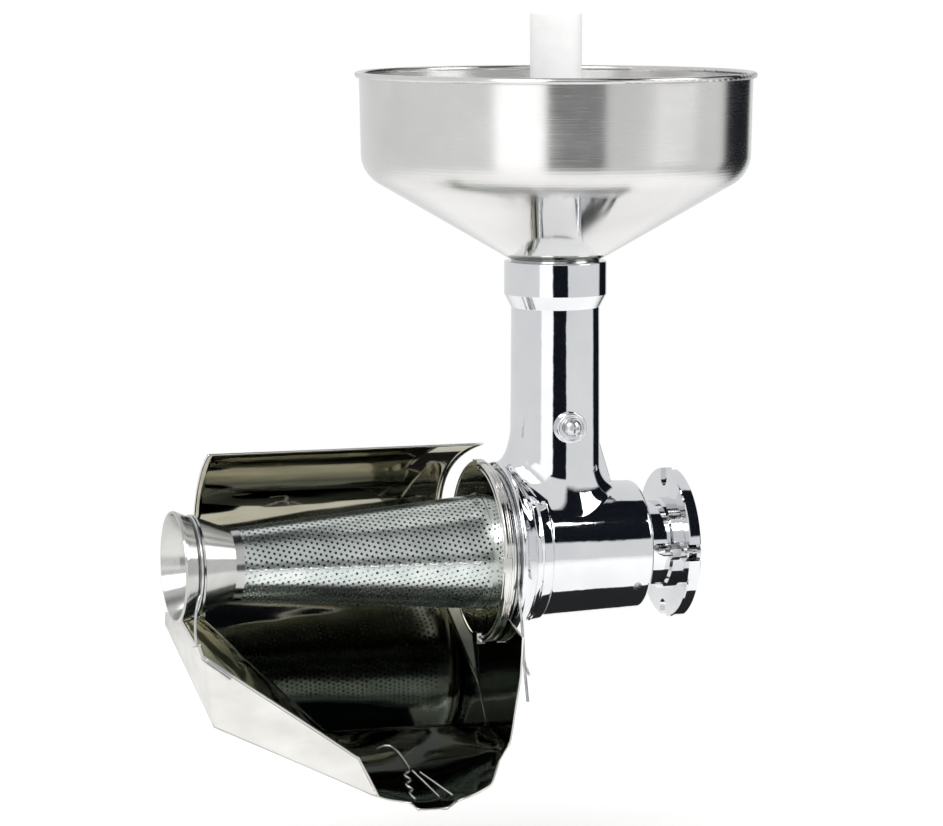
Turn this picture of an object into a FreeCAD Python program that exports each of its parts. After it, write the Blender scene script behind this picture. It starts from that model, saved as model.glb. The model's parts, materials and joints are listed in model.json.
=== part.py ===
"""Food mill: a motor-driven tomato squeezer attachment, in millimetres.

Frame: the origin is the centre of the drive flange's rear mounting face, on the
auger's axis.  +X points into the drive motor, +Z is up and the pulp leaves at -X.
"""
import FreeCAD, Part
import math
import os

Vec = FreeCAD.Vector
AXIS_X = Vec(1, 0, 0)
AXIS_Y = Vec(0, 1, 0)
AXIS_Z = Vec(0, 0, 1)
ORIGIN = Vec(0, 0, 0)

# ---- driving dimensions --------------------------------------------------
SLIP = 0.05            # radial clearance of a running or locating fit
GAP = 0.4              # clearance between parts that move past each other

# drive flange and neck
FLANGE_R = 54.0
FLANGE_T = 8.7
NECK_R = 31.0
NECK_STEP_R = 33.0
NECK_STEP_X = -14.5
SLOT_W = 12.0
SLOT_CENTRE_R = 47.5   # centre of the slot's rounded inner end
BOLT_R = 45.0
SPIGOT_R = 30.0
SPIGOT_L = 4.0
REAR_SPIGOT_L = 5.0

# flange screws, one in each side slot
HEAD_R = 8.0
HEAD_T = 3.0
BOLT_SHANK_R = 2.75
BOLT_POINT_L = 4.0
WASHER_R = 7.4
WASHER_T = 1.4
SPACER_R = 4.6
SPACER_L = 3.6
NUT_T = 6.5
NUT_AF = 10.0
BOLT_TIP = 9.0

# barrel
BARREL_REAR_X = -32.0
BARREL_REAR_R = 46.3
BARREL_FRONT_X = -107.5
BARREL_FRONT_R = 49.0
BARREL_BORE_R = 40.0
REAR_WALL_X = -41.0
BELL_FRONT_X = -137.0
BELL_R = 64.0
HUB_R = 57.5
HUB_FRONT_X = -146.7
HUB_BORE_R = 52.0
LUG_R = 61.5
LUG_T = 1.6
LUG_W = 24.0           # degrees round the axis
LUG_FIRST = 8.0
DRAIN_PLUG_AT = Vec(-43, -39, -24)
DRAIN_PLUG_R = 3.2
DRAIN_PLUG_IN_R = 41.5

# feed tube
TUBE_X = -92.0
TUBE_R = 32.0
TUBE_BORE_R = 27.0
COLLAR_R = 36.5
COLLAR_TOP_Z = 207.0
COLLAR_LOW_Z = 183.5
CHAMFER_LOW_Z = 174.0
SOCKET_R = 31.0
SOCKET_Z = 187.0
ROOT_R = 13.0          # fillet between the tube and the barrel
GUSSET_T = 7.0
BOSS_R = 10.5
BOSS_Z = 91.0
BOSS_FACE_Y = -38.0
BOSS_SCREW_R = 3.0
BOSS_WASHER_R = 6.6
BOSS_WASHER_T = 1.1
PLUG_R = 4.25
PLUG_Z = 196.0
PLUG_INNER_Y = -33.5
PLUG_OUTER_Y = -38.0

# hopper
SHEET = 1.0
RIM_R = 140.3
RIM_Z = 339.0
BEAD_R = 2.2
WALL_TOP_R = 139.5
WALL_LOW_R = 138.0
CONE_TOP_R = 115.0
CONE_TOP_Z = 256.0
CONE_LOW_R = 35.5
CONE_LOW_Z = 210.0
HOPPER_CORNER_R = 25.0
PUSHER_R = 18.4
PUSHER_TOP_Z = 384.0
STOP_Z = 212.2
STOP_R = 38.0
STOP_T = 5.0
FOOT_Z = 46.0
FOOT_R = 25.5

# auger and shaft
SHAFT_R = 8.0
BUSH_R = 13.0
SEAL_FRONT_X = -41.0
SEAL_REAR_X = -34.0
THRUST_R = 22.0
THRUST_T = 2.6
SHAFT_FRONT_X = -110.0
PIN_X = -60.0
PIN_R = 2.5
TANG_W = 10.5
TANG_L = 12.0
AUGER_REAR_X = -44.5
AUGER_NOSE_X = -325.0
FLIGHT_R = BARREL_BORE_R - GAP
CORE_R = 20.0
NOSE_R = 12.5
PITCH = 34.0
FLIGHT_T = 5.0

# screen, ring and outlet
RING_FRONT_X = -150.7
RING_R = 65.0
RING_BORE_R = 41.6
RING_PLATE_T = 1.5
RING_BAND_T = 2.0
RING_BAND_REAR_X = -144.9
SCREEN_BIG_R = 41.0
SCREEN_BIG_X = -150.0
SCREEN_SMALL_R = 24.8
SCREEN_SMALL_X = -334.0
SCREEN_T = 0.8
SCREEN_FLANGE_R = 56.5
SCREEN_FLANGE_T = 1.0
GASKET_IN_R = 53.0
CLAW_REAR_X = -143.4
CLAW_W = 22.0          # degrees round the axis
TAB_W = 10.0
TAB_H = 6.5
TAB_T = 1.6
OUTLET_RIM_X = -373.0
OUTLET_RIM_R = 39.0
OUTLET_NECK_R = 25.6
GROOVE_X = -360.5
GROOVE_R = 34.0

# guard
GUARD_R = 80.0
WALL_TOP_ANGLE = 24.0      # from straight up, towards +Y
WALL_LOW_ANGLE = 127.0
WALL_LEFT_X = -339.0
WALL_RIGHT_X = -154.0
WALL_TOP_RIGHT_X = -136.0
WIRE_R = 1.0
REAR_WIRE_X = -139.0
END_PLATE_X = -141.2
CREASE_Y = 5.0
CUTOUT_R = HUB_R + 1.7
CUTOUT_NEAR_ANGLE = 224.5
CUTOUT_FAR_ANGLE = 325.0
WALL_STEPS = 10
CUTOUT_STEPS = 12
FRONT_RING_R = GROOVE_R + WIRE_R + 0.35
REAR_RING_R = HUB_R + WIRE_R + 0.5
SLEEVE_TOP = Vec(-366.0, -38.0, -49.5)
SLEEVE_LOW = Vec(-363.4, -38.0, -57.8)
SLEEVE_R = 3.3


# ---- helpers --------------------------------------------------------------
def solid_of_revolution(points, centre, axis, radial):
    """Revolve a closed outline of (distance along axis, radius) about the axis."""
    places = [centre + axis * along + radial * out for along, out in points]
    face = Part.Face(Part.makePolygon(places + places[:1]))
    return face.revolve(centre, axis, 360)


def turned_x(points):
    """A part turned about the auger's axis from (x, radius) points."""
    return solid_of_revolution(points, ORIGIN, AXIS_X, AXIS_Z)


def turned_z(points):
    """A part turned about the feed tube's axis from (z, radius) points."""
    return solid_of_revolution(points, Vec(TUBE_X, 0, 0), AXIS_Z, AXIS_X)


def rod_x(radius, start, end):
    """A cylinder on the auger's axis from start to end."""
    return Part.makeCylinder(radius, end - start, Vec(start, 0, 0), AXIS_X)


def rod_z(radius, low, high):
    """A cylinder on the feed tube's axis from low to high."""
    return Part.makeCylinder(radius, high - low, Vec(TUBE_X, 0, low), AXIS_Z)


def tube_x(outer, inner, start, end):
    return rod_x(outer, start, end).cut(rod_x(inner, start - 1, end + 1))


def arc_points(centre, radius, start, end, count):
    """Points on an arc given by angles in degrees, as pairs in the outline's plane."""
    step = (end - start) / count
    angles = [math.radians(start + step * i) for i in range(count + 1)]
    return [(centre[0] + radius * math.cos(a), centre[1] + radius * math.sin(a)) for a in angles]


def prism(points, depth):
    """A flat polygon of Vec points, thickened by the vector depth."""
    return Part.Face(Part.makePolygon(points + points[:1])).extrude(depth)


def sides(triangle):
    """The three directed edges of a triangle of corner numbers."""
    return list(zip(triangle, triangle[1:] + triangle[:1]))


def wound_alike(triangles):
    """Turn triangles over until neighbours agree on which side is up."""
    users = {}
    for number, triangle in enumerate(triangles):
        for edge in sides(triangle):
            users.setdefault(frozenset(edge), []).append(number)
    done = {0}
    queue = [0]
    while queue:
        current = queue.pop()
        for edge in sides(triangles[current]):
            for other in users[frozenset(edge)]:
                if other in done:
                    continue
                if edge in sides(triangles[other]):
                    triangles[other] = triangles[other][::-1]
                done.add(other)
                queue.append(other)
    return triangles


def corner_offsets(corners, triangles, distance):
    """For each corner, the step that moves its panels apart by distance."""
    touching = [[] for corner in corners]
    for triangle in triangles:
        a, b, c = (corners[number] for number in triangle)
        normal = (b - a).cross(c - a).normalize()
        for number in triangle:
            touching[number].append(normal)
    offsets = []
    for normals in touching:
        mean = Vec(0, 0, 0)
        for normal in normals:
            mean = mean + normal
        mean.normalize()
        spread = sum(mean.dot(normal) for normal in normals) / len(normals)
        offsets.append(mean * (distance / max(spread, 0.5)))
    return offsets


def face_of(*places):
    return Part.Face(Part.makePolygon(list(places) + [places[0]]))


def sheet_solid(triangles, thickness):
    """One closed solid of bent sheet, centred on triangles of Vec corners."""
    numbers = {}
    corners = []
    numbered = []
    for triangle in triangles:
        for place in triangle:
            key = (round(place.x, 3), round(place.y, 3), round(place.z, 3))
            if key not in numbers:
                numbers[key] = len(corners)
                corners.append(place)
        keys = [(round(p.x, 3), round(p.y, 3), round(p.z, 3)) for p in triangle]
        numbered.append(tuple(numbers[key] for key in keys))
    numbered = wound_alike(numbered)
    steps = corner_offsets(corners, numbered, thickness / 2)
    upper = [place + step for place, step in zip(corners, steps)]
    lower = [place - step for place, step in zip(corners, steps)]
    directed = {edge for triangle in numbered for edge in sides(triangle)}
    faces = []
    for a, b, c in numbered:
        faces.append(face_of(upper[a], upper[b], upper[c]))
        faces.append(face_of(lower[c], lower[b], lower[a]))
    for a, b in directed:
        if (b, a) not in directed:
            faces.append(face_of(upper[b], upper[a], lower[a]))
            faces.append(face_of(upper[b], lower[a], lower[b]))
    shell = Part.makeShell(faces)
    shell.sewShape()
    solid = Part.makeSolid(shell)
    if solid.Volume < 0:
        solid.reverse()
    return solid


def zip_strip(first, second):
    """Triangles that join two rows of points, however many points each has."""
    triangles = []
    i = 0
    j = 0
    while i < len(first) - 1 or j < len(second) - 1:
        step_first = (i + 1) * (len(second) - 1) <= (j + 1) * (len(first) - 1)
        if j == len(second) - 1 or (step_first and i < len(first) - 1):
            triangles.append((first[i], first[i + 1], second[j]))
            i += 1
        else:
            triangles.append((first[i], second[j + 1], second[j]))
            j += 1
    return triangles


def fan(places):
    """Triangles that fill a convex outline from its first point."""
    return [(places[0], a, b) for a, b in zip(places[1:], places[2:])]


def wire_run(points, radius):
    """Round wire along straight runs, with a ball at each bend."""
    pieces = []
    for start, end in zip(points, points[1:]):
        run = end - start
        pieces.append(Part.makeCylinder(radius, run.Length, start, run))
    for corner in points[1:-1]:
        pieces.append(Part.makeSphere(radius * 1.02, corner))
    return pieces


def fuse_all(shapes):
    return shapes[0].multiFuse(shapes[1:]).removeSplitter()


def around_x(y, z, angle):
    """The point (y, z) turned about the auger's axis by angle degrees."""
    a = math.radians(angle)
    return y * math.cos(a) - z * math.sin(a), y * math.sin(a) + z * math.cos(a)


# ---- casting ----------------------------------------------------------------
def barrel_outline():
    """Outside of the barrel, ridge, bell and hub, from front to rear."""
    round_r = 7.0
    rear_round = arc_points((BARREL_REAR_X - round_r, BARREL_REAR_R - round_r), round_r, 90, 0, 5)
    bell_lip = arc_points((BELL_FRONT_X + 2.0, BELL_R - 2.0), 2.0, 180, 60, 4)
    return (
        [(HUB_FRONT_X, 30), (HUB_FRONT_X, HUB_R), (BELL_FRONT_X, HUB_R)]
        + bell_lip
        + [(-127.0, 57.0), (-121.5, 51.8), (-119.0, 50.6), (-117.6, 50.3), (-117.0, 51.4), (-110.4, 51.0)]
        + [(-109.6, 49.6), (BARREL_FRONT_X, BARREL_FRONT_R)]
        + rear_round
        + [(BARREL_REAR_X, 30)]
    )


def tube_root():
    """The barrel's skin and the feed tube's foot, joined by a fillet all round."""
    taper = (BARREL_FRONT_R - BARREL_REAR_R) / (BARREL_REAR_X - BARREL_FRONT_X - 7)
    front_x = BELL_FRONT_X + 1
    rear_x = BARREL_REAR_X - 7
    skin = turned_x([
        (front_x, 0), (front_x, BARREL_FRONT_R + taper * (BARREL_FRONT_X - front_x)),
        (rear_x, BARREL_REAR_R), (rear_x, 0),
    ])
    foot = turned_z([(0, 0), (0, TUBE_R + 1), (CHAMFER_LOW_Z, TUBE_R - 0.6), (CHAMFER_LOW_Z, 0)])
    joined = skin.fuse(foot)
    seam = []
    for edge in joined.Edges:
        middle = edge.valueAt((edge.FirstParameter + edge.LastParameter) / 2)
        from_tube = math.hypot(middle.x - TUBE_X, middle.y)
        on_tube_foot = abs(from_tube - TUBE_R) < 1.5
        if on_tube_foot and 0.4 * BARREL_REAR_R < middle.z < BARREL_FRONT_R + 2:
            seam.append(edge)
    return joined.makeFillet(ROOT_R, seam)


def feed_tube():
    return turned_z([
        (0, 0), (0, TUBE_R + 1), (CHAMFER_LOW_Z, TUBE_R - 0.6), (COLLAR_LOW_Z, COLLAR_R),
        (COLLAR_TOP_Z - 1, COLLAR_R), (COLLAR_TOP_Z, COLLAR_R - 1), (COLLAR_TOP_Z, 0),
    ])


def rear_gusset():
    """Thin triangular rib between the tube's rear and the barrel."""
    outline = [(-66, 84), (-60.5, 82), (-58, 72), (-50, 49), (-50, 42), (-66, 42)]
    return prism([Vec(x, -GUSSET_T / 2, z) for x, z in outline], Vec(0, GUSSET_T, 0))


def screw_boss():
    return Part.makeCylinder(BOSS_R, 12, Vec(TUBE_X, BOSS_FACE_Y, BOSS_Z), AXIS_Y)


def plug_blank():
    length = PLUG_INNER_Y - PLUG_OUTER_Y
    return Part.makeCylinder(PLUG_R, length, Vec(TUBE_X, PLUG_OUTER_Y, PLUG_Z), AXIS_Y)


def drain_plug_blank(length):
    outwards = Vec(0, DRAIN_PLUG_AT.y, DRAIN_PLUG_AT.z).normalize()
    start = outwards * DRAIN_PLUG_IN_R + Vec(DRAIN_PLUG_AT.x, 0, 0)
    return Part.makeCylinder(DRAIN_PLUG_R, length, start, outwards)


def bayonet_lugs(inner, outer, start, end, width, first):
    """Four lugs about the auger's axis, each width degrees wide."""
    lugs = []
    for quarter in range(4):
        ring = tube_x(outer, inner, start, end)
        wedge = Part.makeCylinder(outer + 5, end - start, Vec(start, 0, 0), AXIS_X, width)
        wedge.rotate(ORIGIN, AXIS_X, first + 90 * quarter)
        lugs.append(ring.common(wedge))
    return lugs


def body_casting():
    outside = turned_x(barrel_outline()).fuse(rod_x(31, HUB_FRONT_X, BARREL_REAR_X))
    parts = [outside, tube_root(), feed_tube(), rear_gusset(), screw_boss()]
    parts += bayonet_lugs(HUB_R - 2, LUG_R, HUB_FRONT_X, HUB_FRONT_X + LUG_T, LUG_W, LUG_FIRST)
    casting = fuse_all(parts)
    bore = turned_x([
        (HUB_FRONT_X - 1, 0), (HUB_FRONT_X - 1, HUB_BORE_R), (-140, HUB_BORE_R),
        (-126, BARREL_BORE_R + 2),
        (-124, BARREL_BORE_R), (REAR_WALL_X, BARREL_BORE_R), (REAR_WALL_X, 0),
    ])
    cuts = [
        bore,
        rod_z(TUBE_BORE_R, 0, COLLAR_TOP_Z + 1),
        rod_z(SOCKET_R + SLIP, SOCKET_Z, COLLAR_TOP_Z + 1),
        rod_x(SPIGOT_R, BARREL_REAR_X - SPIGOT_L, BARREL_REAR_X + 1),
        rod_x(BUSH_R, REAR_WALL_X - 1, BARREL_REAR_X + 1),
        Part.makeCylinder(BOSS_SCREW_R, 12, Vec(TUBE_X, BOSS_FACE_Y - 1, BOSS_Z), AXIS_Y),
        plug_blank(),
        drain_plug_blank(6.0),
    ]
    for tool in cuts:
        casting = casting.cut(tool)
    return casting


# ---- drive end ------------------------------------------------------------
def slot_cutter(angle):
    round_end = Part.makeCylinder(SLOT_W / 2, FLANGE_T + 2, Vec(-FLANGE_T - 1, 0, SLOT_CENTRE_R), AXIS_X)
    channel = Part.makeBox(FLANGE_T + 2, SLOT_W, 20, Vec(-FLANGE_T - 1, -SLOT_W / 2, SLOT_CENTRE_R))
    cutter = round_end.fuse(channel)
    cutter.rotate(ORIGIN, AXIS_X, angle)
    return cutter


def drive_flange():
    edge = 0.8
    blank = turned_x([
        (BARREL_REAR_X - SPIGOT_L, BUSH_R), (BARREL_REAR_X - SPIGOT_L, SPIGOT_R),
        (BARREL_REAR_X, SPIGOT_R), (BARREL_REAR_X, NECK_R), (NECK_STEP_X, NECK_R),
        (NECK_STEP_X + 1.5, NECK_STEP_R), (-FLANGE_T, NECK_STEP_R), (-FLANGE_T, FLANGE_R - edge),
        (-FLANGE_T + edge, FLANGE_R), (-edge, FLANGE_R), (0, FLANGE_R - edge), (0, SPIGOT_R),
        (REAR_SPIGOT_L - edge, SPIGOT_R), (REAR_SPIGOT_L, SPIGOT_R - edge), (REAR_SPIGOT_L, BUSH_R),
    ])
    for quarter in range(4):
        blank = blank.cut(slot_cutter(90 * quarter))
    for side in (-1, 1):
        recess = Part.makeCylinder(HEAD_R + 0.3, HEAD_T + 0.3, Vec(-HEAD_T - 0.3, side * BOLT_R, 0), AXIS_X)
        blank = blank.cut(recess)
    return blank


def bolt_sides(make):
    """The same piece on the flange's near and far slots, as one compound."""
    return Part.makeCompound([make(side * BOLT_R) for side in (-1, 1)])


def flange_bolt(y):
    tip_x = -FLANGE_T - WASHER_T - SPACER_L - NUT_T - BOLT_TIP
    head = Part.makeCylinder(HEAD_R, HEAD_T, Vec(-HEAD_T, y, 0), AXIS_X)
    shank_front = Vec(tip_x + BOLT_POINT_L, y, 0)
    shank = Part.makeCylinder(BOLT_SHANK_R, -shank_front.x, shank_front, AXIS_X)
    point = Part.makeCone(1.0, BOLT_SHANK_R, BOLT_POINT_L, Vec(tip_x, y, 0), AXIS_X)
    return fuse_all([head, shank, point])


def ring_on_bolt(y, outer, front, rear):
    blank = Part.makeCylinder(outer, rear - front, Vec(front, y, 0), AXIS_X)
    return blank.cut(Part.makeCylinder(BOLT_SHANK_R + SLIP, rear - front + 2, Vec(front - 1, y, 0), AXIS_X))


def flange_washer(y):
    return ring_on_bolt(y, WASHER_R, -FLANGE_T - WASHER_T, -FLANGE_T)


def flange_spacer(y):
    rear = -FLANGE_T - WASHER_T
    return ring_on_bolt(y, SPACER_R, rear - SPACER_L, rear)


def flange_nut(y):
    rear = -FLANGE_T - WASHER_T - SPACER_L
    corner = NUT_AF / 2 / math.cos(math.radians(30))
    corners = []
    for i in range(6):
        a = math.radians(60 * i)
        corners.append(Vec(rear - NUT_T, y + corner * math.sin(a), corner * math.cos(a)))
    blank = prism(corners, Vec(NUT_T, 0, 0))
    return blank.cut(Part.makeCylinder(BOLT_SHANK_R + SLIP, NUT_T + 2, Vec(rear - NUT_T - 1, y, 0), AXIS_X))


def rear_bush():
    return tube_x(BUSH_R, SHAFT_R + SLIP, SEAL_REAR_X, REAR_SPIGOT_L - 1)


def shaft_seal():
    return tube_x(BUSH_R, SHAFT_R + SLIP, SEAL_FRONT_X, SEAL_REAR_X)


def thrust_washer():
    return tube_x(THRUST_R, SHAFT_R + SLIP, SEAL_FRONT_X - THRUST_T, SEAL_FRONT_X)


# ---- auger ----------------------------------------------------------------------
def auger_envelope(gap, core):
    """Solid that the flights fill: the barrel's bore, then the inside of the screen."""
    slope = (SCREEN_BIG_R - SCREEN_SMALL_R) / (SCREEN_BIG_X - SCREEN_SMALL_X)
    inner_big = SCREEN_BIG_R - SCREEN_T - gap
    inner_nose = inner_big - slope * (SCREEN_BIG_X - AUGER_NOSE_X)
    return turned_x([
        (AUGER_NOSE_X, core), (AUGER_NOSE_X, inner_nose), (SCREEN_BIG_X, min(inner_big, FLIGHT_R)),
        (AUGER_REAR_X, FLIGHT_R), (AUGER_REAR_X, core),
    ])


def auger():
    length = AUGER_REAR_X - AUGER_NOSE_X
    helix = Part.makeLongHelix(PITCH, length + PITCH, NOSE_R, 0, False)
    half = FLIGHT_T / 2
    outline = [(8, -half), (FLIGHT_R + 6, -half + 0.8), (FLIGHT_R + 6, half - 0.8), (8, half)]
    corners = [Vec(radius, 0, along) for radius, along in outline]
    profile = Part.makePolygon(corners + corners[:1])
    flight = Part.Wire(helix.Edges).makePipeShell([profile], True, True)
    flight.rotate(ORIGIN, Vec(0, 1, 0), 90)
    flight.translate(Vec(AUGER_NOSE_X - PITCH / 2, 0, 0))
    flight = flight.common(auger_envelope(GAP + 0.1, 4.0))
    core = turned_x([
        (AUGER_NOSE_X, 0), (AUGER_NOSE_X, NOSE_R - 3), (AUGER_NOSE_X + 3, NOSE_R),
        (SCREEN_BIG_X, CORE_R), (AUGER_REAR_X, CORE_R), (AUGER_REAR_X, 0),
    ])
    body = core.fuse(flight)
    body = body.cut(rod_x(SHAFT_R, SHAFT_FRONT_X, AUGER_REAR_X + 1))
    return body.cut(pin_solid(0))


def pin_solid(shorten):
    half = CORE_R - 3 - shorten
    return Part.makeCylinder(PIN_R, 2 * half, Vec(PIN_X, -half, 0), Vec(0, 1, 0))


def auger_shaft():
    round_part = rod_x(SHAFT_R, SHAFT_FRONT_X, 0)
    half = TANG_W / 2
    tang = Part.makeBox(TANG_L, TANG_W, TANG_W, Vec(0, -half, -half))
    tang = tang.common(rod_x(SHAFT_R - 1, 0, TANG_L))
    return round_part.fuse(tang).cut(pin_solid(0))


# ---- screen, ring, outlet -------------------------------------------------------
def screen_radius(x):
    slope = (SCREEN_BIG_R - SCREEN_SMALL_R) / (SCREEN_BIG_X - SCREEN_SMALL_X)
    return SCREEN_SMALL_R + slope * (x - SCREEN_SMALL_X)


def screen_cone():
    front, rear = SCREEN_SMALL_X, SCREEN_BIG_X
    return turned_x([
        (front, screen_radius(front)), (rear, screen_radius(rear)),
        (rear, screen_radius(rear) - SCREEN_T), (front, screen_radius(front) - SCREEN_T),
    ])


def screen_flange():
    front = RING_FRONT_X + RING_PLATE_T
    rear = front + SCREEN_FLANGE_T
    inner = SCREEN_BIG_R - SCREEN_T
    return turned_x([
        (SCREEN_BIG_X, inner), (SCREEN_BIG_X, SCREEN_BIG_R), (front, SCREEN_BIG_R),
        (front, SCREEN_FLANGE_R), (rear, SCREEN_FLANGE_R), (rear, inner),
    ])


def screen_gasket():
    front = RING_FRONT_X + RING_PLATE_T + SCREEN_FLANGE_T
    return tube_x(SCREEN_FLANGE_R, GASKET_IN_R, front + SLIP, HUB_FRONT_X)


def retaining_ring():
    front = RING_FRONT_X
    inner = RING_R - RING_BAND_T
    ring = turned_x([
        (front, RING_BORE_R), (front, RING_R - 1.2), (front + 1.2, RING_R),
        (RING_BAND_REAR_X, RING_R), (RING_BAND_REAR_X, inner), (front + RING_PLATE_T, inner),
        (front + RING_PLATE_T, RING_BORE_R),
    ])
    skirt = tube_x(inner + 0.5, inner - 1.0, front + RING_PLATE_T, CLAW_REAR_X)
    claws = bayonet_lugs(HUB_R + GAP, inner + 0.2, CLAW_REAR_X - 1.2, CLAW_REAR_X, CLAW_W, LUG_FIRST + 1)
    return fuse_all([ring, skirt] + claws)


def ring_tab(angle):
    """A small folded tab over the ring's front edge."""
    face = Part.makeBox(TAB_T, TAB_W, TAB_H, Vec(RING_FRONT_X - TAB_T, -TAB_W / 2, RING_R - TAB_H))
    wrap = Part.makeBox(TAB_T + 4.5, TAB_W, 3.0, Vec(RING_FRONT_X - TAB_T, -TAB_W / 2, RING_R - 1.5))
    tab = face.fuse(wrap).common(rod_x(RING_R + 1.2, RING_FRONT_X - TAB_T, RING_FRONT_X + 6))
    tab = tab.cut(turned_x([
        (RING_FRONT_X, 0), (RING_FRONT_X, RING_R - 1.2), (RING_FRONT_X + 1.2, RING_R),
        (RING_FRONT_X + 8, RING_R), (RING_FRONT_X + 8, 0),
    ]))
    tab.rotate(ORIGIN, AXIS_X, angle)
    return tab


def ring_tabs():
    return Part.makeCompound([ring_tab(90 * quarter) for quarter in range(4)])


def outlet_cone():
    """Spun discharge cone with a flared lip and a groove for the wire bail."""
    wall = 1.2
    outer = [
        (SCREEN_SMALL_X + 6, screen_radius(SCREEN_SMALL_X + 6)),
        (SCREEN_SMALL_X + 6, screen_radius(SCREEN_SMALL_X + 6) + wall),
        (SCREEN_SMALL_X, OUTLET_NECK_R + 0.4),
        (GROOVE_X + 3.2, GROOVE_R + 0.6), (GROOVE_X + 2.6, GROOVE_R + 1.9),
        (GROOVE_X + 1.4, GROOVE_R + 1.7), (GROOVE_X + 1.1, GROOVE_R), (GROOVE_X - 1.3, GROOVE_R),
        (GROOVE_X - 3.0, GROOVE_R + 1.6), (OUTLET_RIM_X + 3, OUTLET_RIM_R - 0.6),
        (OUTLET_RIM_X + 1.2, OUTLET_RIM_R), (OUTLET_RIM_X, OUTLET_RIM_R - 0.5),
    ]
    inner = [
        (OUTLET_RIM_X, OUTLET_RIM_R - 1.9), (GROOVE_X, GROOVE_R - wall - 0.2),
        (SCREEN_SMALL_X, SCREEN_SMALL_R - SCREEN_T), (SCREEN_SMALL_X, SCREEN_SMALL_R + 0.05),
    ]
    return turned_x(outer + inner)


# ---- hopper and pusher ------------------------------------------------------------
def rounded_corner(before, corner, after, radius, count):
    """Points of a tangent arc that rounds a corner of an outline of (a, b) pairs."""
    def unit(frm, to):
        length = math.dist(frm, to)
        return (to[0] - frm[0]) / length, (to[1] - frm[1]) / length
    u = unit(corner, before)
    v = unit(corner, after)
    half = math.acos(u[0] * v[0] + u[1] * v[1]) / 2
    reach = radius / math.tan(half)
    bisect = unit((0, 0), (u[0] + v[0], u[1] + v[1]))
    depth = radius / math.sin(half)
    centre = (corner[0] + bisect[0] * depth, corner[1] + bisect[1] * depth)
    start = (corner[0] + u[0] * reach, corner[1] + u[1] * reach)
    end = (corner[0] + v[0] * reach, corner[1] + v[1] * reach)
    a0 = math.degrees(math.atan2(start[1] - centre[1], start[0] - centre[0]))
    a1 = math.degrees(math.atan2(end[1] - centre[1], end[0] - centre[0]))
    sweep = (a1 - a0 + 180) % 360 - 180
    return arc_points(centre, radius, a0, a0 + sweep, count)


def hopper_skin(offset):
    """The bowl's (z, r) outline moved inwards by offset, from the rim to the throat."""
    slope = math.atan2(CONE_TOP_Z - CONE_LOW_Z, CONE_TOP_R - CONE_LOW_R)
    rise = offset / math.cos(slope)
    low = (CONE_LOW_Z + rise, CONE_LOW_R)
    corner_z = CONE_LOW_Z + math.tan(slope) * (WALL_LOW_R - offset - CONE_LOW_R) + rise
    corner = (corner_z, WALL_LOW_R - offset)
    top = (RIM_Z, WALL_TOP_R - offset)
    return [top] + rounded_corner(top, corner, low, HOPPER_CORNER_R - offset, 10) + [low]


def hopper():
    outer = hopper_skin(0)
    inner = hopper_skin(SHEET)
    bowl = turned_z(outer + inner[::-1])
    bead = Part.makeTorus(RIM_R, BEAD_R, Vec(TUBE_X, 0, RIM_Z), AXIS_Z)
    return bowl.fuse(bead)


def hopper_neck():
    """Turned spigot under the bowl that drops into the feed tube's collar."""
    shoulder_z = COLLAR_TOP_Z + 0.1
    return turned_z([
        (SOCKET_Z + 1, TUBE_BORE_R), (SOCKET_Z + 1, SOCKET_R), (shoulder_z, SOCKET_R),
        (shoulder_z, SOCKET_R + 0.6), (shoulder_z + 1.2, SOCKET_R + 0.9),
        (CONE_LOW_Z - 0.6, CONE_LOW_R - 1.2),
        (CONE_LOW_Z, CONE_LOW_R), (CONE_LOW_Z + SHEET, CONE_LOW_R), (CONE_LOW_Z + SHEET, TUBE_BORE_R),
    ])


def pusher():
    """Moulded pusher: foot, rod, stop disc and a softly rounded top."""
    top_round = arc_points((PUSHER_TOP_Z - 2.5, PUSHER_R - 2.5), 2.5, 90, 0, 4)
    foot_round = arc_points((FOOT_Z + 3, FOOT_R - 3), 3, 180, 90, 4)
    return turned_z(
        [(FOOT_Z, 0)] + foot_round
        + [(FOOT_Z + 12, FOOT_R), (FOOT_Z + 15, PUSHER_R), (STOP_Z, PUSHER_R), (STOP_Z, STOP_R - 2)]
        + [(STOP_Z + 2, STOP_R), (STOP_Z + STOP_T, STOP_R), (STOP_Z + STOP_T + 2, PUSHER_R)]
        + top_round + [(PUSHER_TOP_Z, 0)]
    )


# ---- small hardware on the casting ----------------------------------------------
def boss_washer():
    face_y = BOSS_FACE_Y - BOSS_WASHER_T
    outer = Part.makeCylinder(BOSS_WASHER_R, BOSS_WASHER_T, Vec(TUBE_X, face_y, BOSS_Z), AXIS_Y)
    return outer.cut(Part.makeCylinder(BOSS_SCREW_R + SLIP, 3, Vec(TUBE_X, face_y - 1, BOSS_Z), AXIS_Y))


def boss_screw():
    """Pan-head screw with a cross recess, facing the front."""
    seat_y = BOSS_FACE_Y - BOSS_WASHER_T
    head_t = 3.2
    crown_r = 8.0
    head_face = seat_y - head_t
    head = Part.makeCylinder(6.2, head_t, Vec(TUBE_X, head_face, BOSS_Z), AXIS_Y)
    head = head.common(Part.makeSphere(crown_r, Vec(TUBE_X, head_face + crown_r - 0.2, BOSS_Z)))
    shank = Part.makeCylinder(BOSS_SCREW_R, 9.1, Vec(TUBE_X, seat_y, BOSS_Z), AXIS_Y)
    screw = head.fuse(shank)
    for half_x, half_z in ((3.2, 0.7), (0.7, 3.2)):
        corner = Vec(TUBE_X - half_x, head_face - 1, BOSS_Z - half_z)
        screw = screw.cut(Part.makeBox(2 * half_x, 2.6, 2 * half_z, corner))
    return screw


def collar_plug():
    return plug_blank().common(rod_z(COLLAR_R - 0.1, SOCKET_Z, COLLAR_TOP_Z))


def drain_plug():
    return drain_plug_blank(5.4)


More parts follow.
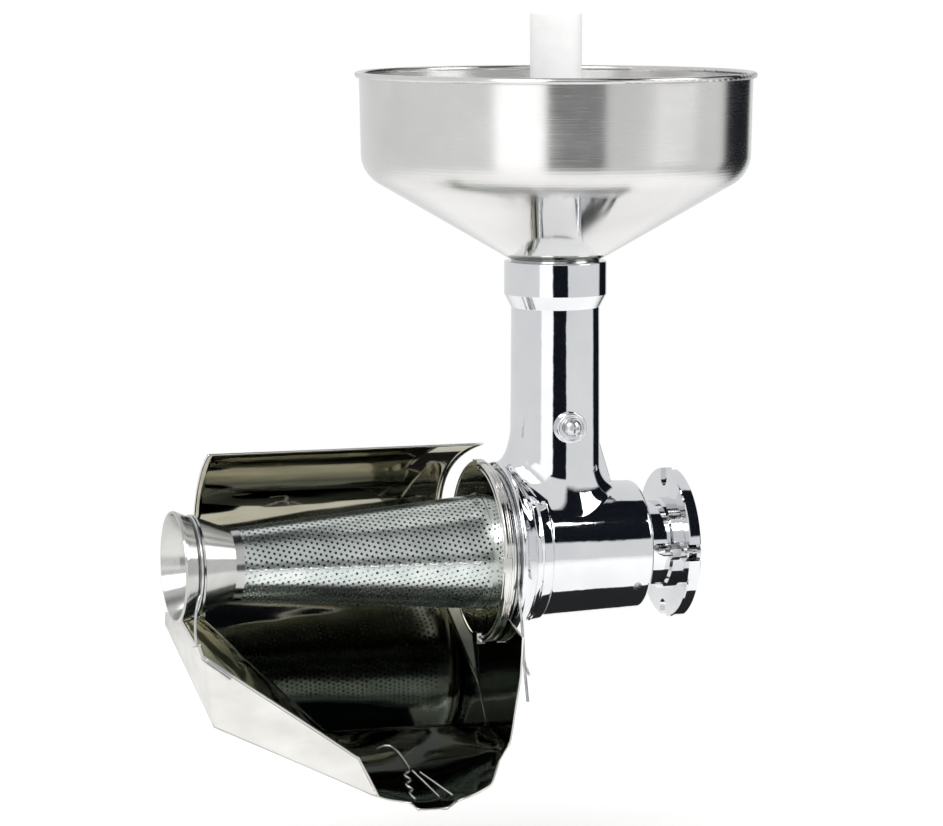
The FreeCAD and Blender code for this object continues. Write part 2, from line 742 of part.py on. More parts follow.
# ---- splash guard -----------------------------------------------------------------
# Corner points of the folded sheet's middle layer.  Names: left is the outlet
# end, near is -Y.  The wall's generators come from the cylinder's own formula.
def on_wall(x, angle):
    a = math.radians(angle)
    return Vec(x, GUARD_R * math.sin(a), GUARD_R * math.cos(a))


def beyond_wall(x, y):
    """A point on the flat that leaves the cylinder tangentially at its low edge."""
    a = math.radians(WALL_LOW_ANGLE)
    reach = (y - GUARD_R * math.sin(a)) / math.cos(a)
    return Vec(x, y, GUARD_R * math.cos(a) - reach * math.sin(a))


WALL_LOW_LEFT = on_wall(WALL_LEFT_X, WALL_LOW_ANGLE)
WALL_LOW_RIGHT = on_wall(WALL_RIGHT_X, WALL_LOW_ANGLE)
CREASE_LEFT = beyond_wall(-262, CREASE_Y)
CREASE_RIGHT = beyond_wall(END_PLATE_X, CREASE_Y)
GUSSET_LOW = beyond_wall(END_PLATE_X, 22.0)
LEFT_FAR_TOP = Vec(-369.5, 38, -39)
LEFT_FAR_LOW = Vec(-369.5, 38, -47.5)
LEFT_MID_TOP = Vec(-365.5, 8, -38)
LEFT_NEAR_TOP = Vec(-360.5, -34, -58)
LEFT_NEAR_LOW = Vec(-352.5, -31.5, -108)
NEAR_RIGHT_TOP = Vec(-259, -70, -128.6)
NEAR_RIGHT_LOW = Vec(-246, -74, -156.3)
RIGHT_NEAR_TOP = Vec(END_PLATE_X, -74.8, -49.4)
RIGHT_NEAR_A = Vec(END_PLATE_X, -70.5, -77.8)
RIGHT_NEAR_B = Vec(END_PLATE_X, -59.6, -100.5)
RIGHT_NEAR_LOW = Vec(END_PLATE_X, -46.4, -131.1)
FLOOR_RIGHT = Vec(-152.6, -56, -141.3)
FLOOR_CORNER_A = Vec(-162, -69, -154.5)
FLOOR_CORNER_B = Vec(-177.8, -77, -158.8)
SPOUT_RIGHT = Vec(-191.2, -80, -161.5)
SPOUT_TIP_RIGHT = Vec(-200.6, -89, -164.6)
SPOUT_TIP_LEFT = Vec(-222.7, -90, -164.2)
SPOUT_LEFT = Vec(-225, -81, -160.4)
LIP_LEFT = Vec(-240, -76.5, -158.3)
END_FAR_TOP = Vec(END_PLATE_X, 52, -36)


def wall_right_x(angle):
    """Right edge of the back sheet, which curves away from the ring lower down."""
    clear_angle = 69.0
    rise = max(0.0, (clear_angle - angle) / (clear_angle - WALL_TOP_ANGLE))
    return WALL_RIGHT_X + (WALL_TOP_RIGHT_X - WALL_RIGHT_X) * rise ** 2.5


def back_wall():
    step = (WALL_LOW_ANGLE - WALL_TOP_ANGLE) / WALL_STEPS
    angles = [WALL_TOP_ANGLE + step * i for i in range(WALL_STEPS + 1)]
    left = [on_wall(WALL_LEFT_X, angle) for angle in angles]
    right = [on_wall(wall_right_x(angle), angle) for angle in angles]
    return zip_strip(left, right)


def right_end_plate():
    """Flat end with the round cut-out that sits in the groove behind the ring."""
    arc = arc_points((0, 0), CUTOUT_R, CUTOUT_NEAR_ANGLE, CUTOUT_FAR_ANGLE, CUTOUT_STEPS)
    inner = [Vec(END_PLATE_X, y, z) for y, z in arc]
    outer = [RIGHT_NEAR_TOP, RIGHT_NEAR_A, RIGHT_NEAR_B, RIGHT_NEAR_LOW, CREASE_RIGHT, GUSSET_LOW,
             END_FAR_TOP]
    return zip_strip(outer, inner)


def guard_flats():
    """The corners of each flat of the folded sheet."""
    floor_edge = [
        CREASE_RIGHT, RIGHT_NEAR_LOW, FLOOR_RIGHT, FLOOR_CORNER_A, FLOOR_CORNER_B, SPOUT_RIGHT,
        SPOUT_LEFT, LIP_LEFT, NEAR_RIGHT_LOW, LEFT_NEAR_LOW, LEFT_FAR_LOW, WALL_LOW_LEFT,
    ]
    return [
        [CREASE_LEFT] + floor_edge,
        [CREASE_LEFT, WALL_LOW_LEFT, WALL_LOW_RIGHT, GUSSET_LOW, CREASE_RIGHT],
        [LEFT_FAR_LOW, WALL_LOW_LEFT, LEFT_FAR_TOP],
        [LEFT_FAR_LOW, LEFT_FAR_TOP, LEFT_MID_TOP, LEFT_NEAR_TOP, LEFT_NEAR_LOW],
        [LEFT_NEAR_LOW, LEFT_NEAR_TOP, NEAR_RIGHT_TOP, NEAR_RIGHT_LOW],
        [SPOUT_RIGHT, SPOUT_TIP_RIGHT, SPOUT_TIP_LEFT, SPOUT_LEFT],
        [WALL_LOW_RIGHT, GUSSET_LOW, END_FAR_TOP],
    ]


def splash_guard():
    triangles = back_wall() + right_end_plate()
    for corners in guard_flats():
        triangles += fan(corners)
    return sheet_solid(triangles, SHEET)


# ---- wire bails ---------------------------------------------------------------------
def wire_ring(x, radius):
    return Part.makeTorus(radius, WIRE_R, Vec(x, 0, 0), AXIS_X)


def front_wire_bail():
    """Ring in the outlet's groove with one leg through the guard's sleeve."""
    y, z = around_x(-FRONT_RING_R, 0, 20)
    leg = [
        Vec(GROOVE_X, y, z), Vec(-365.8, -34.5, -26), Vec(-366.8, -36.5, -40), SLEEVE_TOP,
        SLEEVE_LOW, Vec(-360.0, -38.5, -61.5), Vec(-343.5, -44.0, -73.5),
    ]
    return fuse_all([wire_ring(GROOVE_X, FRONT_RING_R)] + wire_run(leg, WIRE_R))


def guard_sleeve():
    """Rolled sleeve at the guard's corner that holds the front bail."""
    along = SLEEVE_LOW - SLEEVE_TOP
    outer = Part.makeCylinder(SLEEVE_R, along.Length - 0.6, SLEEVE_TOP + along * 0.02, along)
    bore = Part.makeCylinder(WIRE_R + SLIP, along.Length + 10, SLEEVE_TOP - along * 0.5, along)
    return outer.cut(bore)


def rear_wire_bail():
    """Ring in the groove behind the retaining ring, with two tails past the guard."""
    y, z = around_x(-REAR_RING_R, 0, 12)
    bend = Vec(REAR_WIRE_X, -70.0, -66.0)
    leg = [Vec(REAR_WIRE_X, y, z), Vec(REAR_WIRE_X, -67.5, -42), bend, Vec(REAR_WIRE_X, -79.4, -94.7)]
    hook = [bend, Vec(REAR_WIRE_X, -82.5, -75.0)]
    return fuse_all([wire_ring(REAR_WIRE_X, REAR_RING_R)] + wire_run(leg, WIRE_R) + wire_run(hook, WIRE_R))


# ---- write ------------------------------------------------------------------------
NODES = {
    "body_casting": body_casting,
    "drive_flange": drive_flange,
    "flange_bolts": lambda: bolt_sides(flange_bolt),
    "flange_washers": lambda: bolt_sides(flange_washer),
    "flange_spacers": lambda: bolt_sides(flange_spacer),
    "flange_nuts": lambda: bolt_sides(flange_nut),
    "rear_bush": rear_bush,
    "shaft_seal": shaft_seal,
    "thrust_washer": thrust_washer,
    "auger": auger,
    "auger_shaft": auger_shaft,
    "auger_cross_pin": lambda: pin_solid(0.5),
    "screen_cone": screen_cone,
    "screen_flange": screen_flange,
    "screen_gasket": screen_gasket,
    "retaining_ring": retaining_ring,
    "ring_tabs": ring_tabs,
    "outlet_cone": outlet_cone,
    "hopper": hopper,
    "hopper_neck": hopper_neck,
    "pusher": pusher,
    "boss_screw": boss_screw,
    "boss_washer": boss_washer,
    "collar_plug": collar_plug,
    "drain_plug": drain_plug,
    "splash_guard": splash_guard,
    "guard_sleeve": guard_sleeve,
    "front_wire_bail": front_wire_bail,
    "rear_wire_bail": rear_wire_bail,
}

os.makedirs("parts", exist_ok=True)
for name, make in NODES.items():
    shape = make()
    print(name, "valid", shape.isValid(), "solids", len(shape.Solids), "volume %.1f" % shape.Volume)
    shape.exportStep("parts/" + name + ".step")
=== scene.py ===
import json
import math

import bmesh
import bpy
import numpy as np
from mathutils import Matrix, Vector
from mathutils.bvhtree import BVHTree
from mathutils.geometry import delaunay_2d_cdt


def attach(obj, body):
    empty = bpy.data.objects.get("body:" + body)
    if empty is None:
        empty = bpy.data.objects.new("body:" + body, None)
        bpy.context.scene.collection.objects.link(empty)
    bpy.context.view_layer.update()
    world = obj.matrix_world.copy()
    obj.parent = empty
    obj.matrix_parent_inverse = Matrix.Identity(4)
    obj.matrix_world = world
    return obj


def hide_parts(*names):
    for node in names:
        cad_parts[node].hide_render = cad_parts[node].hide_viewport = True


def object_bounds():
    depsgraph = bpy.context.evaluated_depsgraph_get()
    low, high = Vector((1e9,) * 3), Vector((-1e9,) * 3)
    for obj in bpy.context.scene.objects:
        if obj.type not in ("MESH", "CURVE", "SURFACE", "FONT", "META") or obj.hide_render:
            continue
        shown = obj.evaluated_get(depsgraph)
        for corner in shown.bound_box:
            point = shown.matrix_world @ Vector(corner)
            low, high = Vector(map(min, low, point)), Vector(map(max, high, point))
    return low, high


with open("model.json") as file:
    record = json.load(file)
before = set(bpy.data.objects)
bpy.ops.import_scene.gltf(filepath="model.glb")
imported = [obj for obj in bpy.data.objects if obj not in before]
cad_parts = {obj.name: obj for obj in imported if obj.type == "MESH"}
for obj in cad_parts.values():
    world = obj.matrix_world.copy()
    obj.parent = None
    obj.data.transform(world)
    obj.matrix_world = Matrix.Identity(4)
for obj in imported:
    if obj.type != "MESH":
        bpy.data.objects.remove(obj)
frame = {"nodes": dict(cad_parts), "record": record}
cad_low, cad_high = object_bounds()

# The frame's own axes: the auger runs along X, the pulp leaves at -X, the feed tube
# rises along +Z at TUBE_X and the splash guard pours towards -Y.
MM = 0.001
TUBE_X = -92.0 * MM
WIRE_R = 1.0 * MM


# ---- node helpers -----------------------------------------------------------------
ACROSS_TANGENT = 0.25  # a quarter turn: highlights stretch across lines that run round the axis


class Graph:
    """The node tree of a material or the world, with short calls for the nodes it uses."""

    def __init__(self, owner, output="ShaderNodeOutputMaterial", space="Object"):
        owner.use_nodes = True
        self.owner = owner
        self.nodes = owner.node_tree.nodes
        self.links = owner.node_tree.links
        self.nodes.clear()
        self.output = self.nodes.new(output)
        self.place = self.nodes.new("ShaderNodeTexCoord").outputs[space]

    def link(self, source, target):
        self.links.new(source, target)

    def mapped(self, scale=(1, 1, 1), turn=(0, 0, 0), source=None):
        node = self.nodes.new("ShaderNodeMapping")
        node.inputs["Scale"].default_value = scale
        node.inputs["Rotation"].default_value = turn
        self.link(source or self.place, node.inputs["Vector"])
        return node.outputs["Vector"]

    def noise(self, vector, scale, detail=3.0, roughness=0.5):
        node = self.nodes.new("ShaderNodeTexNoise")
        node.inputs["Scale"].default_value = scale
        node.inputs["Detail"].default_value = detail
        node.inputs["Roughness"].default_value = roughness
        self.link(vector, node.inputs["Vector"])
        return node.outputs["Fac"]

    def ramp(self, value, low, high, out_low=0.0, out_high=1.0):
        """Value carried linearly from low..high to out_low..out_high, and clamped."""
        node = self.nodes.new("ShaderNodeMapRange")
        for name, number in zip(("From Min", "From Max", "To Min", "To Max"), (low, high, out_low, out_high)):
            node.inputs[name].default_value = number
        self.link(value, node.inputs["Value"])
        return node.outputs["Result"]

    def math(self, operation, first, second=0.0):
        node = self.nodes.new("ShaderNodeMath")
        node.operation = operation
        for socket, value in zip(node.inputs, (first, second)):
            if isinstance(value, (int, float)):
                socket.default_value = value
            else:
                self.link(value, socket)
        return node.outputs["Value"]

    def mix(self, factor, first, second):
        """Colour mix; first and second are colours or sockets."""
        node = self.nodes.new("ShaderNodeMix")
        node.data_type = "RGBA"
        self.link(factor, node.inputs["Factor"])
        for name, value in (("A", first), ("B", second)):
            socket = [s for s in node.inputs if s.name == name and s.type == "RGBA"][0]
            if isinstance(value, tuple):
                socket.default_value = (*value, 1.0)
            else:
                self.link(value, socket)
        return [s for s in node.outputs if s.type == "RGBA"][0]

    def bump(self, height, strength, distance, normal=None):
        node = self.nodes.new("ShaderNodeBump")
        node.inputs["Strength"].default_value = strength
        node.inputs["Distance"].default_value = distance
        self.link(height, node.inputs["Height"])
        if normal is not None:
            self.link(normal, node.inputs["Normal"])
        return node.outputs["Normal"]

    def split(self, vector):
        """The x, y and z sockets of a vector."""
        node = self.nodes.new("ShaderNodeSeparateXYZ")
        self.link(vector, node.inputs["Vector"])
        return [node.outputs[i] for i in range(3)]

    def polar(self, axis):
        """Angle in radians, radius, and place along the auger's axis (X) or the feed tube's (Z)."""
        x, y, z = self.split(self.place)
        if axis == "X":
            first, second, along = y, z, x
        else:
            first, second, along = self.math("SUBTRACT", x, TUBE_X), y, z
        squares = [self.math("MULTIPLY", value, value) for value in (first, second)]
        radius = self.math("SQRT", self.math("ADD", *squares))
        return self.math("ARCTAN2", first, second), radius, along

    def combine(self, x, y, z):
        node = self.nodes.new("ShaderNodeCombineXYZ")
        for socket, value in zip(node.inputs, (x, y, z)):
            if isinstance(value, (int, float)):
                socket.default_value = value
            else:
                self.link(value, socket)
        return node.outputs["Vector"]

    def shader(self, colour, roughness, normal=None, metallic=1.0, spin_axis=None, **constants):
        """Principled shader; colour and roughness may be constants or sockets."""
        node = self.nodes.new("ShaderNodeBsdfPrincipled")
        node.inputs["Metallic"].default_value = metallic
        if isinstance(colour, tuple):
            node.inputs["Base Color"].default_value = (*colour, 1.0)
        else:
            self.link(colour, node.inputs["Base Color"])
        if isinstance(roughness, (int, float)):
            node.inputs["Roughness"].default_value = roughness
        else:
            self.link(roughness, node.inputs["Roughness"])
        if normal is not None:
            self.link(normal, node.inputs["Normal"])
        for name, value in constants.items():
            node.inputs[name.replace("_", " ")].default_value = value
        if spin_axis:
            tangent = self.nodes.new("ShaderNodeTangent")
            tangent.direction_type = "RADIAL"
            tangent.axis = spin_axis
            self.link(tangent.outputs["Tangent"], node.inputs["Tangent"])
            node.inputs["Anisotropic Rotation"].default_value = ACROSS_TANGENT
        self.link(node.outputs["BSDF"], self.output.inputs["Surface"])
        return self.owner


# ---- materials --------------------------------------------------------------------
# Heights where a finish changes, where painted shade darkens the guard's inside, and how rough the hopper's
# polished cone is.
BEND_LOW_Z, BEND_HIGH_Z = 258 * MM, 263 * MM
SHADE_TOP_Z, SHADE_LOW_Z = -42 * MM, -72 * MM
FLOOR_TOP_Z, FLOOR_LOW_Z = -112 * MM, -130 * MM
CONE_POLISH = 0.06


def chrome():
    """Polished chrome plate over a casting: a mirror with slight waves under it."""
    g = Graph(bpy.data.materials.new("chrome"))
    waves = g.noise(g.place, 38.0, 2.0)
    cast = g.noise(g.place, 210.0, 2.0, 0.6)
    normal = g.bump(waves, 0.30, 0.0009)
    normal = g.bump(cast, 0.10, 0.00022, normal)
    stain = g.noise(g.place, 24.0, 4.0)
    colour = g.mix(g.ramp(stain, 0.35, 0.7), (0.76, 0.77, 0.79), (0.84, 0.85, 0.86))
    roughness = g.ramp(g.noise(g.place, 420.0, 4.0), 0.3, 0.75, 0.025, 0.075)
    return g.shader(colour, roughness, normal)


def satin_steel():
    """Spun hopper: brushed round the wall, polished on the cone below the bend."""
    g = Graph(bpy.data.materials.new("satin_steel"))
    angle, _, along = g.polar("Z")
    around = g.combine(g.math("MULTIPLY", angle, 0.05), along, 0.0)
    lines = g.noise(g.mapped((40, 2600, 1), source=around), 1.0, 4.0, 0.6)
    clouds = g.noise(g.place, 18.0, 3.0)
    brushed = g.ramp(along, BEND_LOW_Z, BEND_HIGH_Z)
    satin = g.math("ADD", g.ramp(lines, 0.3, 0.7, 0.20, 0.28), g.ramp(clouds, 0.3, 0.7, -0.02, 0.03))
    roughness = g.math("ADD", g.math("MULTIPLY", brushed, satin),
                       g.math("MULTIPLY", g.math("SUBTRACT", 1.0, brushed), CONE_POLISH))
    colour = g.mix(g.ramp(clouds, 0.3, 0.7), (0.70, 0.69, 0.68), (0.78, 0.775, 0.765))
    normal = g.bump(g.math("MULTIPLY", lines, brushed), 0.12, 0.00012)
    return g.shader(colour, roughness, normal, spin_axis="Z", Anisotropic=0.9)


def polished_sheet():
    """Bright-annealed stainless sheet, a slightly warm mirror with faint rolling lines."""
    g = Graph(bpy.data.materials.new("polished_sheet"))
    ripple = g.noise(g.mapped((14, 30, 30)), 1.0, 2.0)
    lines = g.noise(g.mapped((60, 2400, 2400)), 1.0, 3.0)
    normal = g.bump(ripple, 0.35, 0.0016)
    normal = g.bump(lines, 0.05, 0.0001, normal)
    smears = g.noise(g.mapped((22, 60, 60)), 1.0, 4.0)
    colour = g.mix(g.ramp(smears, 0.35, 0.7), (0.66, 0.65, 0.62), (0.78, 0.775, 0.75))
    roughness = g.ramp(smears, 0.35, 0.75, 0.08, 0.16)
    return g.shader(colour, roughness, normal)


def painted_shade_inner_sheet():
    """The guard's inside: an olive mirror darker than the outside, painted shade, with more painted shade
    making it nearly black low down and on the floor.
    """
    g = Graph(bpy.data.materials.new("painted_shade_inner_sheet"))
    ripple = g.noise(g.mapped((9, 22, 22)), 1.0, 2.0)
    normal = g.bump(ripple, 0.30, 0.0016)
    smears = g.noise(g.mapped((14, 60, 60)), 1.0, 4.0)
    # Painted shade: the inside is a darker olive copy of the outer sheet.
    upper = g.mix(g.ramp(smears, 0.35, 0.7), (0.33, 0.315, 0.24), (0.47, 0.455, 0.37))
    # Painted shade, nearly black, low down inside the guard.
    lower = g.mix(g.ramp(smears, 0.35, 0.7), (0.055, 0.064, 0.050), (0.095, 0.105, 0.085))
    height = g.split(g.place)[2]
    colour = g.mix(g.ramp(height, SHADE_TOP_Z, SHADE_LOW_Z), upper, lower)
    # Painted shade, darkest over the guard's floor.
    colour = g.mix(g.ramp(height, FLOOR_TOP_Z, FLOOR_LOW_Z), colour, (0.030, 0.036, 0.029))
    roughness = g.ramp(smears, 0.35, 0.75, 0.035, 0.085)
    return g.shader(colour, roughness, normal)


def perforated_steel():
    """Rolled screen sheet: bright, but dulled by a fine grain."""
    g = Graph(bpy.data.materials.new("perforated_steel"))
    grain = g.noise(g.mapped((900, 900, 900)), 1.0, 3.0)
    clouds = g.noise(g.place, 55.0, 3.0)
    colour = g.mix(g.ramp(clouds, 0.35, 0.7), (0.56, 0.61, 0.59), (0.74, 0.78, 0.75))
    roughness = g.ramp(grain, 0.3, 0.7, 0.20, 0.27)
    normal = g.bump(grain, 0.03, 0.00003)
    return g.shader(colour, roughness, normal)


def turned_steel():
    """Turned stainless: fine tool lines round the axis."""
    g = Graph(bpy.data.materials.new("turned_steel"))
    angle, radius, along = g.polar("X")
    around = g.combine(g.math("MULTIPLY", angle, 0.03), g.math("ADD", along, radius), 0.0)
    lines = g.noise(g.mapped((30, 3400, 1), source=around), 1.0, 3.0, 0.6)
    clouds = g.noise(g.place, 40.0, 3.0)
    colour = g.mix(g.ramp(clouds, 0.35, 0.7), (0.50, 0.505, 0.485), (0.61, 0.615, 0.595))
    roughness = g.ramp(lines, 0.3, 0.7, 0.13, 0.22)
    normal = g.bump(lines, 0.14, 0.0001)
    return g.shader(colour, roughness, normal, spin_axis="X", Anisotropic=0.6)


def hardware():
    """Plated screws, nuts and spring wire, with uneven wear."""
    g = Graph(bpy.data.materials.new("hardware"))
    wear = g.noise(g.place, 160.0, 4.0)
    colour = g.mix(g.ramp(wear, 0.35, 0.7), (0.52, 0.53, 0.54), (0.70, 0.71, 0.72))
    roughness = g.ramp(wear, 0.3, 0.75, 0.12, 0.26)
    normal = g.bump(g.noise(g.place, 900.0, 2.0), 0.12, 0.0001)
    return g.shader(colour, roughness, normal)


def white_plastic():
    """Moulded food-grade plastic with a faint mottle."""
    g = Graph(bpy.data.materials.new("white_plastic"))
    mottle = g.noise(g.place, 120.0, 4.0)
    colour = g.mix(g.ramp(mottle, 0.3, 0.75), (0.90, 0.91, 0.905), (0.95, 0.955, 0.95))
    roughness = g.ramp(g.noise(g.place, 320.0, 3.0), 0.3, 0.7, 0.34, 0.46)
    normal = g.bump(g.noise(g.place, 700.0, 2.0), 0.08, 0.0001)
    return g.shader(colour, roughness, normal, metallic=0.0, Subsurface_Weight=0.08)


def dark_nylon():
    """Moulded auger, painted nearly black as painted shade for the screen's dark inside, and slightly
    mottled.
    """
    g = Graph(bpy.data.materials.new("dark_nylon"))
    cast = g.noise(g.place, 260.0, 3.0)
    # Painted shade: the auger's near-black colour stands in for the shade seen through the screen's holes.
    colour = g.mix(g.ramp(cast, 0.3, 0.7), (0.03, 0.032, 0.034), (0.06, 0.062, 0.066))
    return g.shader(colour, g.ramp(cast, 0.3, 0.7, 0.4, 0.55), g.bump(cast, 0.2, 0.0001), metallic=0.0)


def bronze():
    """Turned bearing bronze, slightly stained."""
    g = Graph(bpy.data.materials.new("bronze"))
    stain = g.noise(g.place, 140.0, 4.0)
    colour = g.mix(g.ramp(stain, 0.3, 0.7), (0.60, 0.40, 0.20), (0.78, 0.56, 0.32))
    return g.shader(colour, g.ramp(stain, 0.3, 0.7, 0.22, 0.38), g.bump(stain, 0.1, 0.0001))


def black_rubber():
    """Matt black seal rubber."""
    g = Graph(bpy.data.materials.new("black_rubber"))
    grain = g.noise(g.place, 900.0, 3.0)
    colour = g.mix(g.ramp(grain, 0.3, 0.7), (0.018, 0.018, 0.018), (0.045, 0.045, 0.045))
    return g.shader(colour, g.ramp(grain, 0.3, 0.7, 0.5, 0.75), g.bump(grain, 0.3, 0.0001), metallic=0.0)


MAKERS = (
    chrome, satin_steel, polished_sheet, painted_shade_inner_sheet, perforated_steel, turned_steel, hardware,
    white_plastic, dark_nylon, bronze, black_rubber,
)
MATERIALS = {maker.__name__: maker() for maker in MAKERS}
NODE_SLOT = {row["node"]: row["material_slot"] for row in frame["record"]["subparts"]}
for node, obj in frame["nodes"].items():
    obj.data.materials.clear()
    obj.data.materials.append(MATERIALS[NODE_SLOT[node]])


# ---- mesh helpers -----------------------------------------------------------------
SHARP_ANGLE = 32.0


def add_piece(name, points, faces, body, slot, replaced=(), smooth_angle=SHARP_ANGLE):
    """A mesh in millimetres made into a piece that rides on a CAD body."""
    mesh = bpy.data.meshes.new(name)
    mesh.from_pydata([Vector(p) * MM for p in points], [], faces)
    mesh.validate()
    return dress(name, mesh, body, slot, replaced, smooth_angle)


def dress(name, mesh, body, slot, replaced=(), smooth_angle=SHARP_ANGLE):
    """A mesh in metres made into a piece with its body, slot and the CAD nodes it replaces."""
    mesh.shade_smooth()
    mesh.set_sharp_from_angle(angle=math.radians(smooth_angle))
    mesh.materials.append(MATERIALS[slot])
    obj = bpy.data.objects.new(name, mesh)
    bpy.context.scene.collection.objects.link(obj)
    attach(obj, body)
    if replaced:
        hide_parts(*replaced)
    return obj


def wire(name, runs, radius, body, slot, replaced=()):
    """Round wire along several runs of points, joined into one mesh piece."""
    data = bpy.data.curves.new(name, "CURVE")
    data.dimensions = "3D"
    data.bevel_depth = radius
    data.bevel_resolution = 5
    data.use_fill_caps = True
    for points, closed in runs:
        spline = data.splines.new("NURBS")
        spline.points.add(len(points) - 1)
        for control, place in zip(spline.points, points):
            control.co = (*(Vector(place) * MM), 1.0)
        spline.use_cyclic_u = closed
        spline.order_u = 3
        spline.use_endpoint_u = not closed
        spline.resolution_u = 8
    source = bpy.data.objects.new(name + "_curve", data)
    mesh = bpy.data.meshes.new_from_object(source)
    bpy.data.objects.remove(source)
    return dress(name, mesh, body, slot, replaced, 50.0)


def around_x(x, radius, angle):
    """A point at angle degrees from -Y (0) down to -Z (90) about the auger's axis."""
    a = math.radians(angle)
    return Vector((x, -radius * math.cos(a), -radius * math.sin(a)))


# ---- perforated screen ------------------------------------------------------------
SCREEN_BIG_X = -150.0
SCREEN_BIG_R = 41.0
SCREEN_SMALL_X = -334.0
SCREEN_SMALL_R = 24.8
SCREEN_T = 0.8
HOLE_PITCH = 4.0
HOLE_R = 0.95
HOLE_SIDES = 10
HOLE_MARGIN = HOLE_R + 1.2
ROW_STEP = HOLE_PITCH * math.sqrt(3) / 2
SEAM_LAP = 20.0
SEAM_RISE_END = 36.0
SEAM_GAP = 0.1
BORDER_COUNT = 150
SIDE_COUNT = 40
DASH_STEP = 10.6
DASH_FIRST = 12.0
DASH_END = 14.0
DASH_HALF = 3.1
DASH_PROUD = 0.35
DASH_HEIGHT = 0.6
DASH_ANGLE = 1.4
DASH_SPREAD = 1.8
DASH_RINGS = 7
DASH_SIDES = 10


def screen():
    """Conical screen rolled from flat perforated sheet, with its lapped seam at the front."""
    slope = math.atan2(SCREEN_BIG_R - SCREEN_SMALL_R, SCREEN_BIG_X - SCREEN_SMALL_X)
    sine = math.sin(slope)
    near, far = SCREEN_SMALL_R / sine, SCREEN_BIG_R / sine
    total = 360.0 + SEAM_LAP
    half = math.radians(total / 2) * sine

    def rolled(place, inward):
        """A point of the flat sheet rolled on to the cone, moved inward by a distance."""
        reach = math.hypot(*place)
        turn = math.degrees(math.atan2(place[1], place[0]) / sine) + total / 2
        lift = SCREEN_T + SEAM_GAP
        lift *= min(max((SEAM_RISE_END - turn) / (SEAM_RISE_END - SEAM_LAP), 0.0), 1.0)
        radius = reach * sine + lift - inward
        x = SCREEN_SMALL_X + (reach - near) * math.cos(slope)
        return around_x(x, radius, turn)

    outline = [(near, -half + 2 * half * i / BORDER_COUNT) for i in range(BORDER_COUNT)]
    outline += [(near + (far - near) * i / SIDE_COUNT, half) for i in range(SIDE_COUNT)]
    outline += [(far, half - 2 * half * i / BORDER_COUNT) for i in range(BORDER_COUNT)]
    outline += [(far - (far - near) * i / SIDE_COUNT, -half) for i in range(SIDE_COUNT)]
    flat = [(reach * math.cos(turn), reach * math.sin(turn)) for reach, turn in outline]
    edges = [(i, (i + 1) % len(flat)) for i in range(len(flat))]
    centres = []
    rows = int((far - near * math.cos(half)) / ROW_STEP) + 2
    columns = int(far * math.sin(half) / HOLE_PITCH) + 2
    for row in range(rows):
        for column in range(-columns, columns + 1):
            along = near * math.cos(half) + row * ROW_STEP
            across = (column + 0.5 * (row % 2)) * HOLE_PITCH
            reach, turn = math.hypot(along, across), math.atan2(across, along)
            in_length = near + HOLE_MARGIN < reach < far - HOLE_MARGIN
            if in_length and abs(turn) < half + HOLE_R / reach:
                centres.append((along, across))
    for along, across in centres:
        first = len(flat)
        for i in range(HOLE_SIDES):
            a = 2 * math.pi * i / HOLE_SIDES
            flat.append((along + HOLE_R * math.cos(a), across + HOLE_R * math.sin(a)))
            edges.append((first + i, first + (i + 1) % HOLE_SIDES))
    made = delaunay_2d_cdt([Vector(p) for p in flat], edges, [], 0, 1e-5)
    places, triangles = made[0], made[2]
    cells = {}
    for along, across in centres:
        cell = (round(along / HOLE_PITCH), round(across / HOLE_PITCH))
        cells.setdefault(cell, []).append((along, across))

    def solid(triangle):
        """Whether a triangle is sheet, not a hole or outside the sheet."""
        x = sum(places[i][0] for i in triangle) / 3
        y = sum(places[i][1] for i in triangle) / 3
        reach, turn = math.hypot(x, y), math.atan2(y, x)
        if not (near < reach + 0.02 and reach < far and abs(turn) < half):
            return False
        cell = (round(x / HOLE_PITCH), round(y / HOLE_PITCH))
        for i in (-1, 0, 1):
            for j in (-1, 0, 1):
                for along, across in cells.get((cell[0] + i, cell[1] + j), ()):
                    if math.hypot(x - along, y - across) < HOLE_R * 0.95:
                        return False
        return True

    kept = [tuple(t) for t in triangles if solid(t)]
    count = len(places)
    points = [rolled(p, 0.0) for p in places] + [rolled(p, SCREEN_T) for p in places]
    faces = kept + [tuple(count + i for i in reversed(t)) for t in kept]
    directed = {(t[i], t[(i + 1) % 3]) for t in kept for i in range(3)}
    faces += [(b, a, count + a, count + b) for a, b in directed if (b, a) not in directed]
    obj = add_piece("screen", points, faces, "screen_unit", "perforated_steel", ["screen_cone"], 40.0)
    clean = bmesh.new()
    clean.from_mesh(obj.data)
    bmesh.ops.delete(clean, geom=[v for v in clean.verts if not v.link_faces], context="VERTS")
    clean.to_mesh(obj.data)
    clean.free()


